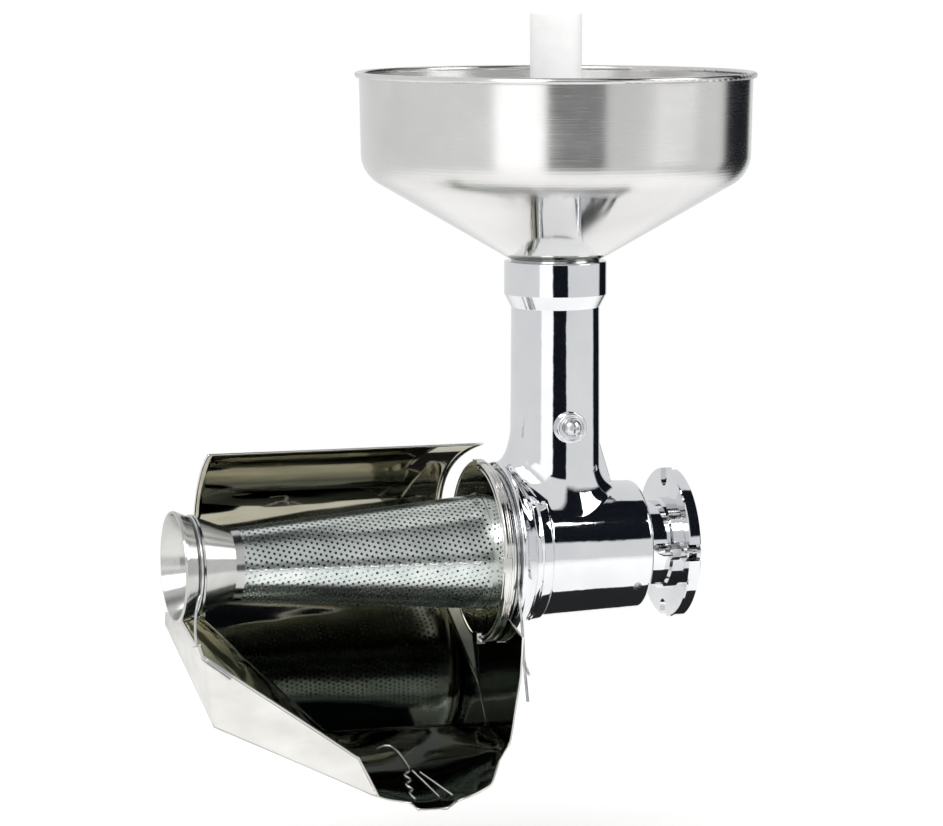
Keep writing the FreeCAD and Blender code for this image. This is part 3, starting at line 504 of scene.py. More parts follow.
def seam_dashes():
    """Short weld beads along the screen's lapped seam."""
    points = []
    faces = []
    slope = (SCREEN_BIG_R - SCREEN_SMALL_R) / (SCREEN_BIG_X - SCREEN_SMALL_X)
    count = int((SCREEN_BIG_X - SCREEN_SMALL_X - DASH_END) / DASH_STEP)
    for number in range(count):
        middle = SCREEN_SMALL_X + DASH_FIRST + number * DASH_STEP
        first = len(points)
        for i in range(DASH_RINGS):
            t = math.pi * (i + 0.5) / DASH_RINGS
            x = middle - DASH_HALF * math.cos(t)
            surface = SCREEN_SMALL_R + slope * (x - SCREEN_SMALL_X) + SCREEN_T + DASH_PROUD
            for j in range(DASH_SIDES):
                a = 2 * math.pi * j / DASH_SIDES
                radius = surface + DASH_HEIGHT * math.sin(t) * math.cos(a)
                angle = DASH_ANGLE + DASH_SPREAD * math.sin(t) * math.sin(a)
                points.append(around_x(x, radius, angle))
        for i in range(DASH_RINGS - 1):
            for j in range(DASH_SIDES):
                a, b = first + i * DASH_SIDES + j, first + i * DASH_SIDES + (j + 1) % DASH_SIDES
                faces.append((a, b, b + DASH_SIDES, a + DASH_SIDES))
        faces.append(tuple(first + j for j in reversed(range(DASH_SIDES))))
        faces.append(tuple(first + (DASH_RINGS - 1) * DASH_SIDES + j for j in range(DASH_SIDES)))
    add_piece("screen_seam_welds", points, faces, "screen_unit", "chrome", smooth_angle=60.0)


# ---- splash guard -----------------------------------------------------------------
# The folded sheet's corners.  Left is the outlet end, near is -Y, far is +Y.
GUARD_R = 80.0
GUARD_T = 1.0
WALL_TOP_ANGLE = 24.0
WALL_LOW_ANGLE = 127.0
WALL_LEFT_X = -339.0
WALL_RIGHT_X = -154.0
WALL_TOP_RIGHT_X = -136.0
END_PLATE_X = -141.2
CUTOUT_R = 59.2
CUTOUT_START, CUTOUT_END = 325.0, 224.5
CUTOUT_STEPS = 48
CLEAR_ANGLE = 69.0
WALL_ROWS = 60
BEND = 1.6
MESH_STEP = 5.0
RELAX_SWEEPS = 400
HEM_R = 0.75
HEM_RAISE = 0.4
PLEAT_R = 0.9
FAN_R = 0.8


def on_wall(x, angle):
    """A point on the rolled wall; angle runs from the top (0) round the far side."""
    a = math.radians(angle)
    return Vector((x, GUARD_R * math.sin(a), GUARD_R * math.cos(a)))


def beyond_wall(x, y):
    """A point on the flat that leaves the wall tangentially at its low edge."""
    a = math.radians(WALL_LOW_ANGLE)
    reach = (y - GUARD_R * math.sin(a)) / math.cos(a)
    return Vector((x, y, GUARD_R * math.cos(a) - reach * math.sin(a)))


WALL_LOW_LEFT = on_wall(WALL_LEFT_X, WALL_LOW_ANGLE)
WALL_LOW_RIGHT = on_wall(WALL_RIGHT_X, WALL_LOW_ANGLE)
CREASE_LEFT = beyond_wall(-262, 5)
CREASE_RIGHT = beyond_wall(END_PLATE_X, 5)
GUSSET_LOW = beyond_wall(END_PLATE_X, 22)
LEFT_FAR_TOP = Vector((-369.5, 38, -39))
LEFT_FAR_LOW = Vector((-369.5, 38, -47.5))
LEFT_MID_TOP = Vector((-365.5, 8, -38))
LEFT_NEAR_TOP = Vector((-360.5, -34, -58))
LEFT_NEAR_LOW = Vector((-352.5, -31.5, -108))
NEAR_RIGHT_TOP = Vector((-259, -70, -128.6))
NEAR_RIGHT_LOW = Vector((-246, -74, -156.3))
RIGHT_NEAR_TOP = Vector((END_PLATE_X, -74.8, -49.4))
RIGHT_NEAR_A = Vector((END_PLATE_X, -70.5, -77.8))
RIGHT_NEAR_B = Vector((END_PLATE_X, -59.6, -100.5))
RIGHT_NEAR_LOW = Vector((END_PLATE_X, -46.4, -131.1))
FLOOR_RIGHT = Vector((-152.6, -56, -141.3))
FLOOR_CORNER_A = Vector((-162, -69, -154.5))
FLOOR_CORNER_B = Vector((-177.8, -77, -158.8))
SPOUT_RIGHT = Vector((-191.2, -80, -161.5))
SPOUT_TIP_RIGHT = Vector((-200.6, -89, -164.6))
SPOUT_TIP_LEFT = Vector((-222.7, -90, -164.2))
SPOUT_LEFT = Vector((-225, -81, -160.4))
LIP_LEFT = Vector((-240, -76.5, -158.3))
END_FAR_TOP = Vector((END_PLATE_X, 52, -36))


def split_run(start, end, step):
    """Points from start towards end, end left out; the same places from either side."""
    count = max(1, round((end - start).length / step))
    return [start.lerp(end, i / count) for i in range(count)]


def film(corners, step=MESH_STEP):
    """Fine triangles over a patch: even where its corners are flat, smoothly warped if not."""
    border = []
    for start, end in zip(corners, corners[1:] + corners[:1]):
        border += split_run(start, end, step)
    normal = Vector((0, 0, 0))
    for a, b in zip(corners, corners[1:] + corners[:1]):
        normal += a.cross(b)
    normal.normalize()
    across = (corners[1] - corners[0]).normalized()
    across = (across - normal * across.dot(normal)).normalized()
    upward = normal.cross(across)
    origin = corners[0]

    def flat(p):
        return Vector(((p - origin).dot(across), (p - origin).dot(upward)))

    rim = [flat(p) for p in border]
    count = len(rim)
    near_rim = []
    for i in range(count):
        before, here, after = rim[i - 1], rim[i], rim[(i + 1) % count]
        along = (after - before).normalized()
        inward = Vector((-along.y, along.x))
        near_rim.append(here + inward * BEND)
    low_u, high_u = min(p.x for p in rim), max(p.x for p in rim)
    low_v, high_v = min(p.y for p in rim), max(p.y for p in rim)
    grid = []
    for i in range(int((high_u - low_u) / step) + 1):
        for j in range(int((high_v - low_v) / step) + 1):
            grid.append(Vector((low_u + (i + 0.5 * (j % 2)) * step, low_v + j * step)))

    def depth(p):
        """Distance inside the outline, negative outside."""
        inside = False
        nearest = 1e9
        for a, b in zip(rim, rim[1:] + rim[:1]):
            run = b - a
            t = max(0.0, min(1.0, (p - a).dot(run) / max(run.length_squared, 1e-9)))
            nearest = min(nearest, (p - a - run * t).length)
            if (a.y > p.y) != (b.y > p.y) and p.x < a.x + (p.y - a.y) / (b.y - a.y) * run.x:
                inside = not inside
        return nearest if inside else -nearest

    extra = [p for p in near_rim if depth(p) > BEND * 0.6]
    extra += [p for p in grid if depth(p) > step * 0.62]
    edges = [(i, (i + 1) % count) for i in range(count)]
    made = delaunay_2d_cdt(rim + extra, edges, [], 1, 1e-4)
    places, triangles, sources = made[0], made[2], made[3]
    heights = np.zeros(len(places))
    fixed = np.zeros(len(places), bool)
    for i, where in enumerate(sources):
        known = [s for s in where if s < count]
        if known:
            heights[i] = (border[known[0]] - origin).dot(normal)
            fixed[i] = True
    pairs = np.array([(t[i], t[(i + 1) % 3]) for t in triangles for i in range(3)])
    for _ in range(RELAX_SWEEPS):
        total = np.zeros(len(places))
        users = np.zeros(len(places))
        for column in (0, 1):
            np.add.at(total, pairs[:, column], heights[pairs[:, 1 - column]])
            np.add.at(users, pairs[:, column], 1)
        heights = np.where(fixed, heights, total / np.maximum(users, 1))
    solid = [origin + across * p.x + upward * p.y + normal * h for p, h in zip(places, heights)]
    return solid, [tuple(t) for t in triangles]


def wall_right_x(angle):
    """The wall's right edge, which runs out towards the top over the barrel."""
    rise = max(0.0, (CLEAR_ANGLE - angle) / (CLEAR_ANGLE - WALL_TOP_ANGLE))
    return WALL_RIGHT_X + (WALL_TOP_RIGHT_X - WALL_RIGHT_X) * rise ** 2.5


def wall_patch():
    """The curved back sheet as a fine grid."""
    low_edge = split_run(WALL_LOW_LEFT, WALL_LOW_RIGHT, MESH_STEP) + [WALL_LOW_RIGHT]
    columns = len(low_edge) - 1
    points = []
    for i in range(WALL_ROWS + 1):
        angle = WALL_TOP_ANGLE + (WALL_LOW_ANGLE - WALL_TOP_ANGLE) * i / WALL_ROWS
        for j in range(columns + 1):
            x = WALL_LEFT_X + (wall_right_x(angle) - WALL_LEFT_X) * j / columns
            points.append(on_wall(x, angle))
    faces = []
    for i in range(WALL_ROWS):
        for j in range(columns):
            a = i * (columns + 1) + j
            faces.append((a, a + columns + 1, a + columns + 2, a + 1))
    return points, faces


def end_plate_patch():
    """The flat end plate, with its round cut-out for the barrel."""
    inner = []
    for i in range(CUTOUT_STEPS + 1):
        a = math.radians(CUTOUT_START + (CUTOUT_END - CUTOUT_START) * i / CUTOUT_STEPS)
        inner.append(Vector((END_PLATE_X, CUTOUT_R * math.cos(a), CUTOUT_R * math.sin(a))))
    outer = [
        RIGHT_NEAR_TOP, RIGHT_NEAR_A, RIGHT_NEAR_B, RIGHT_NEAR_LOW, CREASE_RIGHT, GUSSET_LOW, END_FAR_TOP,
    ]
    return film(outer + inner)


def guard_patches():
    """Every flat or warped patch of the sheet: wall, end plate, floor, corners, lip and spout."""
    floor_edge = [
        CREASE_RIGHT, RIGHT_NEAR_LOW, FLOOR_RIGHT, FLOOR_CORNER_A, FLOOR_CORNER_B, SPOUT_RIGHT,
        SPOUT_LEFT, LIP_LEFT, NEAR_RIGHT_LOW, LEFT_NEAR_LOW, LEFT_FAR_LOW, WALL_LOW_LEFT,
    ]
    outlines = [
        [CREASE_LEFT] + floor_edge,
        [CREASE_LEFT, WALL_LOW_LEFT, WALL_LOW_RIGHT, GUSSET_LOW, CREASE_RIGHT],
        [LEFT_FAR_LOW, WALL_LOW_LEFT, LEFT_FAR_TOP],
        [LEFT_FAR_LOW, LEFT_FAR_TOP, LEFT_MID_TOP, LEFT_NEAR_TOP, LEFT_NEAR_LOW],
        [LEFT_NEAR_LOW, LEFT_NEAR_TOP, NEAR_RIGHT_TOP, NEAR_RIGHT_LOW],
        [SPOUT_RIGHT, SPOUT_TIP_RIGHT, SPOUT_TIP_LEFT, SPOUT_LEFT],
        [WALL_LOW_RIGHT, GUSSET_LOW, END_FAR_TOP],
    ]
    return [wall_patch(), end_plate_patch()] + [film(corners) for corners in outlines]


def guard():
    """The folded sheet in one piece, dark inside from painted shade and bright outside; returns its object.
    """
    made = bmesh.new()
    for points, faces in guard_patches():
        verts = [made.verts.new(p * MM) for p in points]
        for face in faces:
            made.faces.new([verts[i] for i in face])
    bmesh.ops.remove_doubles(made, verts=made.verts, dist=0.05 * MM)
    bmesh.ops.recalc_face_normals(made, faces=made.faces)
    top = max(made.faces, key=lambda face: face.calc_center_median().z)
    if top.normal.y > 0:
        bmesh.ops.reverse_faces(made, faces=made.faces)
    mesh = bpy.data.meshes.new("guard_sheet")
    made.to_mesh(mesh)
    made.free()
    obj = dress("guard_sheet", mesh, "guard_unit", "polished_sheet", ["splash_guard"], 180.0)
    # The first material is the painted-shade inside; the solidified shell and rims take the plain outer
    # sheet.
    obj.data.materials.clear()
    obj.data.materials.append(MATERIALS["painted_shade_inner_sheet"])
    obj.data.materials.append(MATERIALS["polished_sheet"])
    thick = obj.modifiers.new("thickness", "SOLIDIFY")
    thick.material_offset = 1
    thick.material_offset_rim = 1
    thick.thickness = GUARD_T * MM
    thick.offset = 0.0
    thick.use_even_offset = True
    return obj


def straight(corners):
    """Control points that keep a soft wire straight between corners and tight at them."""
    points = [corners[0]]
    for start, end in zip(corners, corners[1:]):
        reach = min(2.5, (end - start).length * 0.3)
        step = (end - start).normalized() * reach
        points += [start + step, end - step]
    return points + [corners[-1]]


def guard_hems():
    """Rolled edges along the sheet's free sides."""
    top_left = on_wall(WALL_LEFT_X, WALL_TOP_ANGLE)
    top_right = on_wall(wall_right_x(WALL_TOP_ANGLE), WALL_TOP_ANGLE)
    left_arc = [on_wall(WALL_LEFT_X, WALL_TOP_ANGLE + 4 + 6 * i) for i in range(17)]
    right_angles = [WALL_TOP_ANGLE + 3 + 6 * i for i in range(16)]
    right_arc = [on_wall(wall_right_x(angle), angle) for angle in right_angles]
    raised = Vector((0, 0, HEM_RAISE))
    mouth = [
        NEAR_RIGHT_LOW, LIP_LEFT, SPOUT_LEFT, SPOUT_TIP_LEFT + raised, SPOUT_TIP_RIGHT + raised,
        SPOUT_RIGHT, FLOOR_CORNER_B, FLOOR_CORNER_A, FLOOR_RIGHT, RIGHT_NEAR_LOW, RIGHT_NEAR_B,
        RIGHT_NEAR_A, RIGHT_NEAR_TOP,
    ]
    front = [LEFT_FAR_TOP, LEFT_MID_TOP, LEFT_NEAR_TOP, NEAR_RIGHT_TOP, NEAR_RIGHT_LOW]
    runs = [
        (straight([top_left, top_right]), False),
        ([top_left] + left_arc, False),
        ([top_right] + right_arc, False),
        (straight(front), False),
        (straight(mouth), False),
    ]
    wire("guard_hems", runs, HEM_R * MM, "guard_unit", "polished_sheet")


def spout_fold(sheet_obj):
    """Crimped pleats where the floor is drawn in to make the spout."""
    pleat = [
        (-233, -24), (-228, -20), (-222, -18), (-218, -26), (-216, -39), (-215, -49), (-223, -54),
        (-217, -59), (-225, -64), (-219, -69), (-225, -73), (-221, -79),
    ]
    fans = [[(-209, -51), (-203, -61), (-193, -76)], [(-214, -49), (-209, -62), (-203, -77)]]
    bpy.context.view_layer.update()
    sheet = BVHTree.FromObject(sheet_obj, bpy.context.evaluated_depsgraph_get())

    def laid(row, proud):
        """Plan points dropped on to the trough's floor, with the fold's centre a little above it."""
        placed = []
        for x, y in row:
            hit = sheet.ray_cast(Vector((x, y, -100)) * MM, Vector((0, 0, -1)))[0]
            if hit:
                placed.append(hit / MM + Vector((0, 0, proud)))
        return placed

    wire("spout_pleat", [(laid(pleat, 0.5), False)], PLEAT_R * MM, "guard_unit", "polished_sheet")
    fan_runs = [(laid(row, 0.2), False) for row in fans]
    wire("spout_fan", fan_runs, FAN_R * MM, "guard_unit", "polished_sheet")


# ---- wire bails -------------------------------------------------------------------
GROOVE_X = -360.5
FRONT_RING_R = 35.35
REAR_WIRE_X = -139.0
REAR_RING_R = 59.0


def ring_points(x, radius, count=24):
    """A full circle about the auger's axis."""
    return [around_x(x, radius, 360.0 * i / count) for i in range(count)]


def bails():
    """The two bent wires that hang the guard: one round the outlet, one round the ring."""
    front_leg = [
        around_x(GROOVE_X, FRONT_RING_R, 16), around_x(GROOVE_X, FRONT_RING_R, 24), (-363.5, -33.6, -18),
        (-365.8, -34.8, -29), (-366.6, -36.5, -40), (-366.0, -38.0, -49.5), (-363.4, -38.0, -57.8),
        (-361.5, -38.2, -60.0), (-357.5, -39.3, -63.4), (-343.5, -44.0, -73.5),
    ]
    wire("front_bail", [(ring_points(GROOVE_X, FRONT_RING_R), True), (front_leg, False)], WIRE_R,
         "guard_unit", "hardware", ["front_wire_bail"])
    rear_leg = [
        around_x(REAR_WIRE_X, REAR_RING_R, 8), around_x(REAR_WIRE_X, REAR_RING_R, 15),
        (REAR_WIRE_X, -62.5, -30), (REAR_WIRE_X, -67.5, -45), (REAR_WIRE_X, -70.0, -62.0),
        (REAR_WIRE_X, -72.2, -72), (REAR_WIRE_X, -79.4, -94.7),
    ]
    hook = [(REAR_WIRE_X, -70.0, -66.0), (REAR_WIRE_X, -73.0, -69.8), (REAR_WIRE_X, -77.5, -72.2),
            (REAR_WIRE_X, -82.5, -75.0)]
    wire("rear_bail", [(ring_points(REAR_WIRE_X, REAR_RING_R), True), (rear_leg, False), (hook, False)],
         WIRE_R, "guard_unit", "hardware", ["rear_wire_bail"])


screen()
seam_dashes()
guard_sheet = guard()
guard_hems()
spout_fold(guard_sheet)
bails()


# ---- turned and cast metal --------------------------------------------------------
FLAT_CORNER = 176.0
CORNER_STEP = 15.0


def rounded(outline):
    """A closed outline of (along, out) or (along, out, radius) points, its corners rounded."""
    smooth = []
    for i, corner in enumerate(outline):
        here = Vector(corner[:2])
        radius = corner[2] if len(corner) > 2 else 0.0
        before = Vector(outline[i - 1][:2]) - here
        after = Vector(outline[(i + 1) % len(outline)][:2]) - here
        angle = before.angle(after)
        if radius == 0 or angle > math.radians(FLAT_CORNER):
            smooth.append(here)
            continue
        reach = min(radius / math.tan(angle / 2), before.length * 0.49, after.length * 0.49)
        radius = reach * math.tan(angle / 2)
        start, end = here + before.normalized() * reach, here + after.normalized() * reach
        bisector = (before.normalized() + after.normalized()).normalized()
        centre = here + bisector * (radius / math.sin(angle / 2))
        turn = (start - centre).angle_signed(end - centre)
        steps = max(2, math.ceil(abs(math.degrees(turn)) / CORNER_STEP))
        for k in range(steps + 1):
            spoke = (start - centre).copy()
            spoke.rotate(Matrix.Rotation(-turn * k / steps, 2))
            smooth.append(centre + spoke)
    return smooth


def spin_faces(rows, columns):
    """Quads of a grid of points that closes both ways."""
    faces = []
    for i in range(rows):
        for j in range(columns):
            a, b = i * columns + j, i * columns + (j + 1) % columns
            above = ((i + 1) % rows) * columns
            c, d = above + (j + 1) % columns, above + j
            faces.append((a, b, c, d))
    return faces


def turned(name, outline, axis, body, slot, replaced=(), centre=(0.0, 0.0, 0.0), sides=160):
    """A lathe part from its closed half section; axis is X, Y or Z through centre."""
    section = rounded(outline)
    points = []
    for along, out in section:
        for j in range(sides):
            a = 2 * math.pi * j / sides
            u, v = out * math.cos(a), out * math.sin(a)
            place = {"X": (along, u, v), "Y": (v, along, u), "Z": (u, v, along)}[axis]
            points.append(Vector(centre) + Vector(place))
    faces = spin_faces(len(section), sides)
    obj = add_piece(name, points, faces, body, slot, replaced)
    tidy_mesh(obj.data)
    return obj


def tidy_mesh(mesh):
    """Weld doubled points, drop collapsed faces and turn every face outwards."""
    made = bmesh.new()
    made.from_mesh(mesh)
    bmesh.ops.remove_doubles(made, verts=made.verts, dist=0.002 * MM)
    bmesh.ops.dissolve_degenerate(made, edges=made.edges, dist=0.0005 * MM)
    bmesh.ops.recalc_face_normals(made, faces=made.faces)
    made.to_mesh(mesh)
    made.free()
    mesh.set_sharp_from_angle(angle=math.radians(SHARP_ANGLE))


BARREL_OUTLINE = [
    (-146.7, 52.0), (-146.7, 57.5, 0.6), (-137.0, 57.5, 0.5), (-137.0, 64.0, 1.6), (-133.6, 63.4, 3.0),
    (-127.0, 57.0, 4.0), (-121.5, 51.8, 3.0), (-118.2, 50.4, 0.8), (-117.0, 51.6, 0.7), (-110.4, 51.2, 0.8),
    (-109.0, 49.2, 0.8), (-107.5, 49.0), (-39.0, 46.3, 1.0), (-32.0, 46.3, 6.5), (-32.0, 30.0), (-36.0, 30.0),
    (-36.0, 13.0), (-41.0, 13.0), (-41.0, 40.0), (-124.0, 40.0), (-126.0, 42.0), (-140.0, 52.0),
]
# The outer skin without the narrow ridge at -117, which the tube's root passes over.
BARREL_SKIN = BARREL_OUTLINE[1:6] + BARREL_OUTLINE[10:13]
TUBE_R = 32.0
TUBE_BORE_R = 27.0
COLLAR_BORE_R = 31.05
COLLAR_TOP_Z = 207.0
COLLAR_SEAT_Z = 187.0
ROOT_TOP_Z = 55.5
ROOT_RISE_BELL = 36.0
ROOT_RISE_DRIVE = 5.0
ROOT_OUT_SIDE = 40.4
ROOT_OUT_BELL = 44.5
ROOT_OUT_DRIVE = 43.5
ROOT_STEPS = 14
BOSS_Z = 91.0
GUSSET_HALF = 3.4


def barrel_radius(x):
    """The barrel's radius under the tube's root."""
    return float(np.interp(x, [p[0] for p in BARREL_SKIN], [p[1] for p in BARREL_SKIN]))


def barrel_top(out, angle):
    """Height of the barrel's skin at a distance and direction from the feed tube's axis."""
    x = TUBE_X / MM + out * math.cos(angle)
    y = out * math.sin(angle)
    return math.sqrt(max(barrel_radius(x) ** 2 - y ** 2, 1.0))


def root_curve(angle):
    """The tube's root: from its wall down to the barrel's skin, as (out, z) points."""
    side = math.sin(angle) ** 2
    bell = max(-math.cos(angle), 0.0)
    drive = max(math.cos(angle), 0.0)
    out_end = ROOT_OUT_SIDE * side + ROOT_OUT_DRIVE * drive ** 2 + ROOT_OUT_BELL * bell ** 2
    z_end = barrel_top(out_end, angle)
    z_start = ROOT_TOP_Z + ROOT_RISE_BELL * bell ** 3 + ROOT_RISE_DRIVE * drive ** 2
    slope = barrel_top(out_end + 0.5, angle) - barrel_top(out_end - 0.5, angle)
    run = Vector((1.0, slope)).normalized() * (out_end - TUBE_R) * 0.8
    p0 = Vector((TUBE_R, z_start))
    p1 = Vector((TUBE_R, z_start - (z_start - z_end) * 0.14))
    p3 = Vector((out_end, z_end - 0.15))
    p2 = p3 - run
    curve = []
    for i in range(ROOT_STEPS + 1):
        t = i / ROOT_STEPS
        s = 1 - t
        curve.append(p0 * s ** 3 + p1 * 3 * s * s * t + p2 * 3 * s * t * t + p3 * t ** 3)
    return curve


def feed_tube():
    """Feed tube, collar and the cast root that spreads on to the barrel."""
    upper = rounded([
        (COLLAR_TOP_Z, COLLAR_BORE_R), (COLLAR_TOP_Z, 36.5, 0.9), (183.5, 36.5, 0.7), (174.0, 31.5, 1.2),
        (150.0, 31.6), (120.0, 31.75),
    ])
    outside = [Vector((p.y, p.x)) for p in upper]
    sides = 160
    columns = []
    for j in range(sides):
        angle = 2 * math.pi * j / sides
        across = Vector((math.cos(angle), math.sin(angle), 0))
        root = root_curve(angle)
        last = root[-1]
        inner = [
            (last.x - 1.0, last.y - 4.0), (TUBE_BORE_R, 36.0), (TUBE_BORE_R, COLLAR_SEAT_Z),
            (COLLAR_BORE_R, COLLAR_SEAT_Z),
        ]
        column = outside + [Vector((TUBE_R, root[0].y + 6.0))] + root + [Vector(p) for p in inner]
        columns.append([across * p.x + Vector((TUBE_X / MM, 0, p.y)) for p in column])
    rows = len(columns[0])
    points = [columns[j][i] for i in range(rows) for j in range(sides)]
    obj = add_piece("casting_feed_tube", points, spin_faces(rows, sides), "body_unit", "chrome")
    tidy_mesh(obj.data)


def cut_away(obj, cutter):
    """Cut one mesh out of another for good, and remove the cutter."""
    bpy.context.view_layer.update()
    step = obj.modifiers.new("cut", "BOOLEAN")
    step.operation = "DIFFERENCE"
    step.solver = "EXACT"
    step.object = cutter
    evaluated = obj.evaluated_get(bpy.context.evaluated_depsgraph_get())
    mesh = bpy.data.meshes.new_from_object(evaluated)
    obj.modifiers.clear()
    obj.data = mesh
    bpy.data.objects.remove(cutter)
    mesh.set_sharp_from_angle(angle=math.radians(SHARP_ANGLE))


def barrel():
    """The auger's barrel, with the throat under the feed tube cut out."""
    obj = turned("casting_barrel", BARREL_OUTLINE, "X", "body_unit", "chrome", ["body_casting"], sides=200)
    column = [(0.0, 0.0), (0.0, TUBE_BORE_R), (60.0, TUBE_BORE_R), (60.0, 0.0)]
    centre = (TUBE_X / MM, 0.0, 0.0)
    throat = turned("throat_cutter", column, "Z", "body_unit", "chrome", centre=centre, sides=96)
    cut_away(obj, throat)


def screw_boss():
    """Raised ring on the tube's front that holds the screw."""
    turned("casting_boss", [
        (-28.0, 3.05), (-28.0, 11.6), (-34.5, 11.2, 1.5), (-38.0, 10.6, 1.2), (-38.0, 8.6, 0.4),
        (-37.0, 8.1, 0.3), (-37.0, 7.2), (-37.9, 6.9, 0.3), (-37.9, 3.05),
    ], "Y", "body_unit", "chrome", centre=(TUBE_X / MM, 0.0, BOSS_Z), sides=96)


def rear_gusset():
    """Thin triangular rib between the tube's back and the barrel."""
    outline = [(-64.0, 85.0), (-60.6, 84.0), (-58.4, 74.0), (-50.0, 47.0), (-50.0, 42.0), (-64.0, 42.0)]
    count = len(outline)
    points = [(x, side * GUSSET_HALF, z) for side in (-1, 1) for x, z in outline]
    faces = [tuple(range(count)), tuple(reversed(range(count, 2 * count)))]
    faces += [(i, i + count, (i + 1) % count + count, (i + 1) % count) for i in range(count)]
    obj = add_piece("casting_gusset", points, faces, "body_unit", "chrome")
    tidy_mesh(obj.data)
    step = obj.modifiers.new("rounding", "BEVEL")
    step.width = 1.6 * MM
    step.segments = 4
    step.limit_method = "ANGLE"
    step.angle_limit = math.radians(35)
    step.harden_normals = True
    step.use_clamp_overlap = True


def ring():
    """Bayonet ring: flat plate, a fine groove, a rolled rim and a stepped band behind it."""
    turned("bayonet_ring", [
        (-150.7, 41.6, 0.4), (-150.7, 60.2, 0.2), (-150.1, 60.7, 0.2), (-150.1, 61.3, 0.2),
        (-150.7, 61.8, 0.4), (-150.7, 63.6, 1.0), (-149.5, 65.0, 1.2), (-147.2, 65.0, 0.6),
        (-146.8, 64.0, 0.3), (-145.9, 64.0, 0.3), (-145.5, 64.7, 0.4), (-144.0, 64.7, 0.5),
        (-143.4, 63.8, 0.3), (-143.4, 62.0, 0.2), (-149.2, 62.0, 0.4), (-149.2, 41.6, 0.3),
    ], "X", "screen_unit", "polished_sheet", ["retaining_ring"], sides=200)


barrel()
feed_tube()
screw_boss()
rear_gusset()
ring()


# ---- camera, floor, light -----------------------------------------------------------
CAMERA_PLACE = Vector((-0.9849, -2.5778, 0.4309))
CAMERA_TILT = 83.03
CAMERA_TURN = -17.85
CAMERA_LENS = 146.6
CAMERA_AZIMUTH = math.degrees(math.atan2(CAMERA_PLACE.x - TUBE_X, -CAMERA_PLACE.y))
SENSOR_WIDTH = 36.0
FLOOR_Z = cad_low.z - 90 * MM
FLOOR_HALF = 1.6
FADE_START, FADE_END = 0.75, 1.45
LIGHT_AIM = (-0.15, 0, 0.1)


def camera():
    data = bpy.data.cameras.new("camera")
    data.lens = CAMERA_LENS
    data.sensor_width = SENSOR_WIDTH
    obj = bpy.data.objects.new("camera", data)
    obj.location = CAMERA_PLACE
    obj.rotation_euler = (math.radians(CAMERA_TILT), 0.0, math.radians(CAMERA_TURN))
    bpy.context.scene.collection.objects.link(obj)
    bpy.context.scene.camera = obj


def floor():
    """A pale sheet of paper that fades into the backdrop with distance."""
    corners = [(-1, -1), (1, -1), (1, 1), (-1, 1)]
    mesh = bpy.data.meshes.new("floor")
    mesh.from_pydata([(x * FLOOR_HALF, y * FLOOR_HALF, FLOOR_Z) for x, y in corners], [], [(0, 1, 2, 3)])
    obj = bpy.data.objects.new("floor", mesh)
    g = Graph(bpy.data.materials.new("floor_paper"))
    tone = g.mix(g.noise(g.place, 3.0, 2.0), (0.93, 0.93, 0.925), (0.95, 0.95, 0.945))
    radius = g.polar("Z")[1]
    g.shader(tone, 0.9, metallic=0.0)
    fade = g.ramp(radius, FADE_START, FADE_END, 1.0, 0.0)
    g.link(fade, g.nodes["Principled BSDF"].inputs["Alpha"])
    mesh.materials.append(g.owner)
    bpy.context.scene.collection.objects.link(obj)


def area_light(name, place, size, power):
    """A square soft light aimed at the object."""
    data = bpy.data.lights.new(name, "AREA")
    data.shape = "RECTANGLE"
    data.size = size
    data.size_y = size
    data.energy = power
    obj = bpy.data.objects.new(name, data)
    obj.location = place
    obj.rotation_euler = (Vector(LIGHT_AIM) - Vector(place)).to_track_quat("-Z", "Y").to_euler()
    bpy.context.scene.collection.objects.link(obj)


def flag(name, low, high, z):
    """A black level card, seen only in reflections; low and high are opposite corners in plan."""
    (x0, y0), (x1, y1) = low, high
    mesh = bpy.data.meshes.new(name)
    mesh.from_pydata([(x0, y0, z), (x1, y0, z), (x1, y1, z), (x0, y1, z)], [], [(0, 1, 2, 3)])
    g = Graph(bpy.data.materials.new(name))
    mesh.materials.append(g.shader((0.004, 0.005, 0.007), 0.9, metallic=0.0))
    obj = bpy.data.objects.new(name, mesh)
    bpy.context.scene.collection.objects.link(obj)
    for ray in ("camera", "diffuse", "shadow", "transmission", "volume_scatter"):
        setattr(obj, "visible_" + ray, False)


def band(g, value, low, high, soft):
    """1 between low and high, falling to 0 over soft on each side."""
    rise = g.ramp(value, low - soft, low + soft)
    fall = g.ramp(value, high - soft, high + soft, 1.0, 0.0)
    return g.math("MULTIPLY", rise, fall)


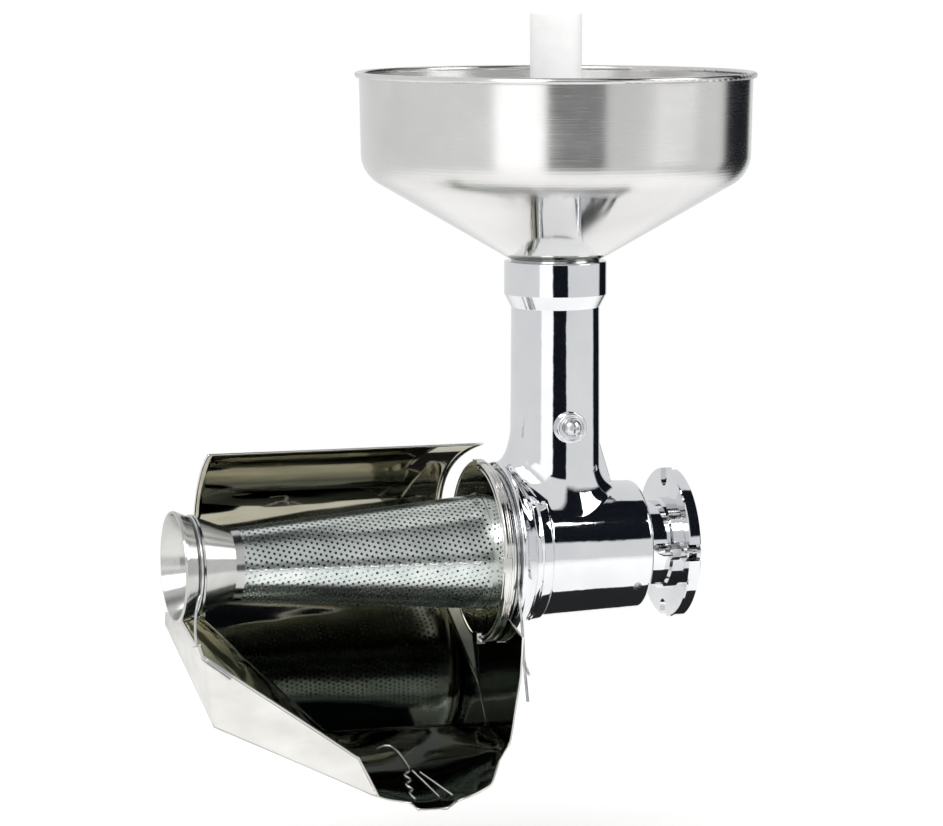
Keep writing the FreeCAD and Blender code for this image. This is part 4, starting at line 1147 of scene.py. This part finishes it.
def studio():
    """Pale backdrop, with the dark flags of a product studio seen only in reflections."""
    world = bpy.data.worlds.new("studio")
    bpy.context.scene.world = world
    g = Graph(world, "ShaderNodeOutputWorld", "Generated")
    x, y, z = g.split(g.mapped(turn=(0, 0, math.radians(-CAMERA_AZIMUTH))))
    in_degrees = 180 / math.pi
    azimuth = g.math("MULTIPLY", g.math("ARCTAN2", x, g.math("MULTIPLY", y, -1.0)), in_degrees)
    elevation = g.math("MULTIPLY", g.math("ARCSINE", z), in_degrees)
    # Each flag spans a range of azimuth and of elevation, in degrees.
    flags = [
        (band(g, azimuth, -5, 29, 1.2), band(g, elevation, -25, 6, 2.0)),
        (band(g, azimuth, 117, 157, 3.0), band(g, elevation, -25, 40, 4.0)),
        (band(g, azimuth, 31, 120, 3.0), band(g, elevation, 15, 78, 1.5)),
        (band(g, azimuth, -400, 400, 3.0), band(g, elevation, 72, 100, 4.0)),
    ]
    dark = None
    for across, upright in flags:
        card = g.math("MULTIPLY", across, upright)
        dark = card if dark is None else g.math("MAXIMUM", dark, card)
    bright = g.math("MULTIPLY", band(g, azimuth, -36, -5, 2.0), band(g, elevation, -40, 15, 3.0))
    base = g.mix(bright, (0.78, 0.785, 0.79), (1.25, 1.25, 1.25))
    shelf = g.math("MULTIPLY", band(g, azimuth, 10, 120, 25.0), band(g, elevation, -33, -21, 3.0))
    base = g.mix(shelf, base, (0.07, 0.09, 0.075))
    reflected = g.mix(dark, base, (0.006, 0.008, 0.012))
    path = g.nodes.new("ShaderNodeLightPath")
    seen = g.mix(path.outputs["Is Glossy Ray"], (1.0, 1.0, 1.0), reflected)
    background = g.nodes.new("ShaderNodeBackground")
    g.link(seen, background.inputs["Color"])
    g.link(background.outputs["Background"], g.output.inputs["Surface"])


bpy.context.scene.view_settings.view_transform = "Standard"
camera()
floor()
studio()
flag("flag_below", (-0.17, -0.11), (0.14, 0.24), FLOOR_Z + 10 * MM)
area_light("key", (-1.6, -1.8, 1.9), 1.4, 26)
area_light("fill", (1.6, -1.2, 1.3), 1.2, 14)
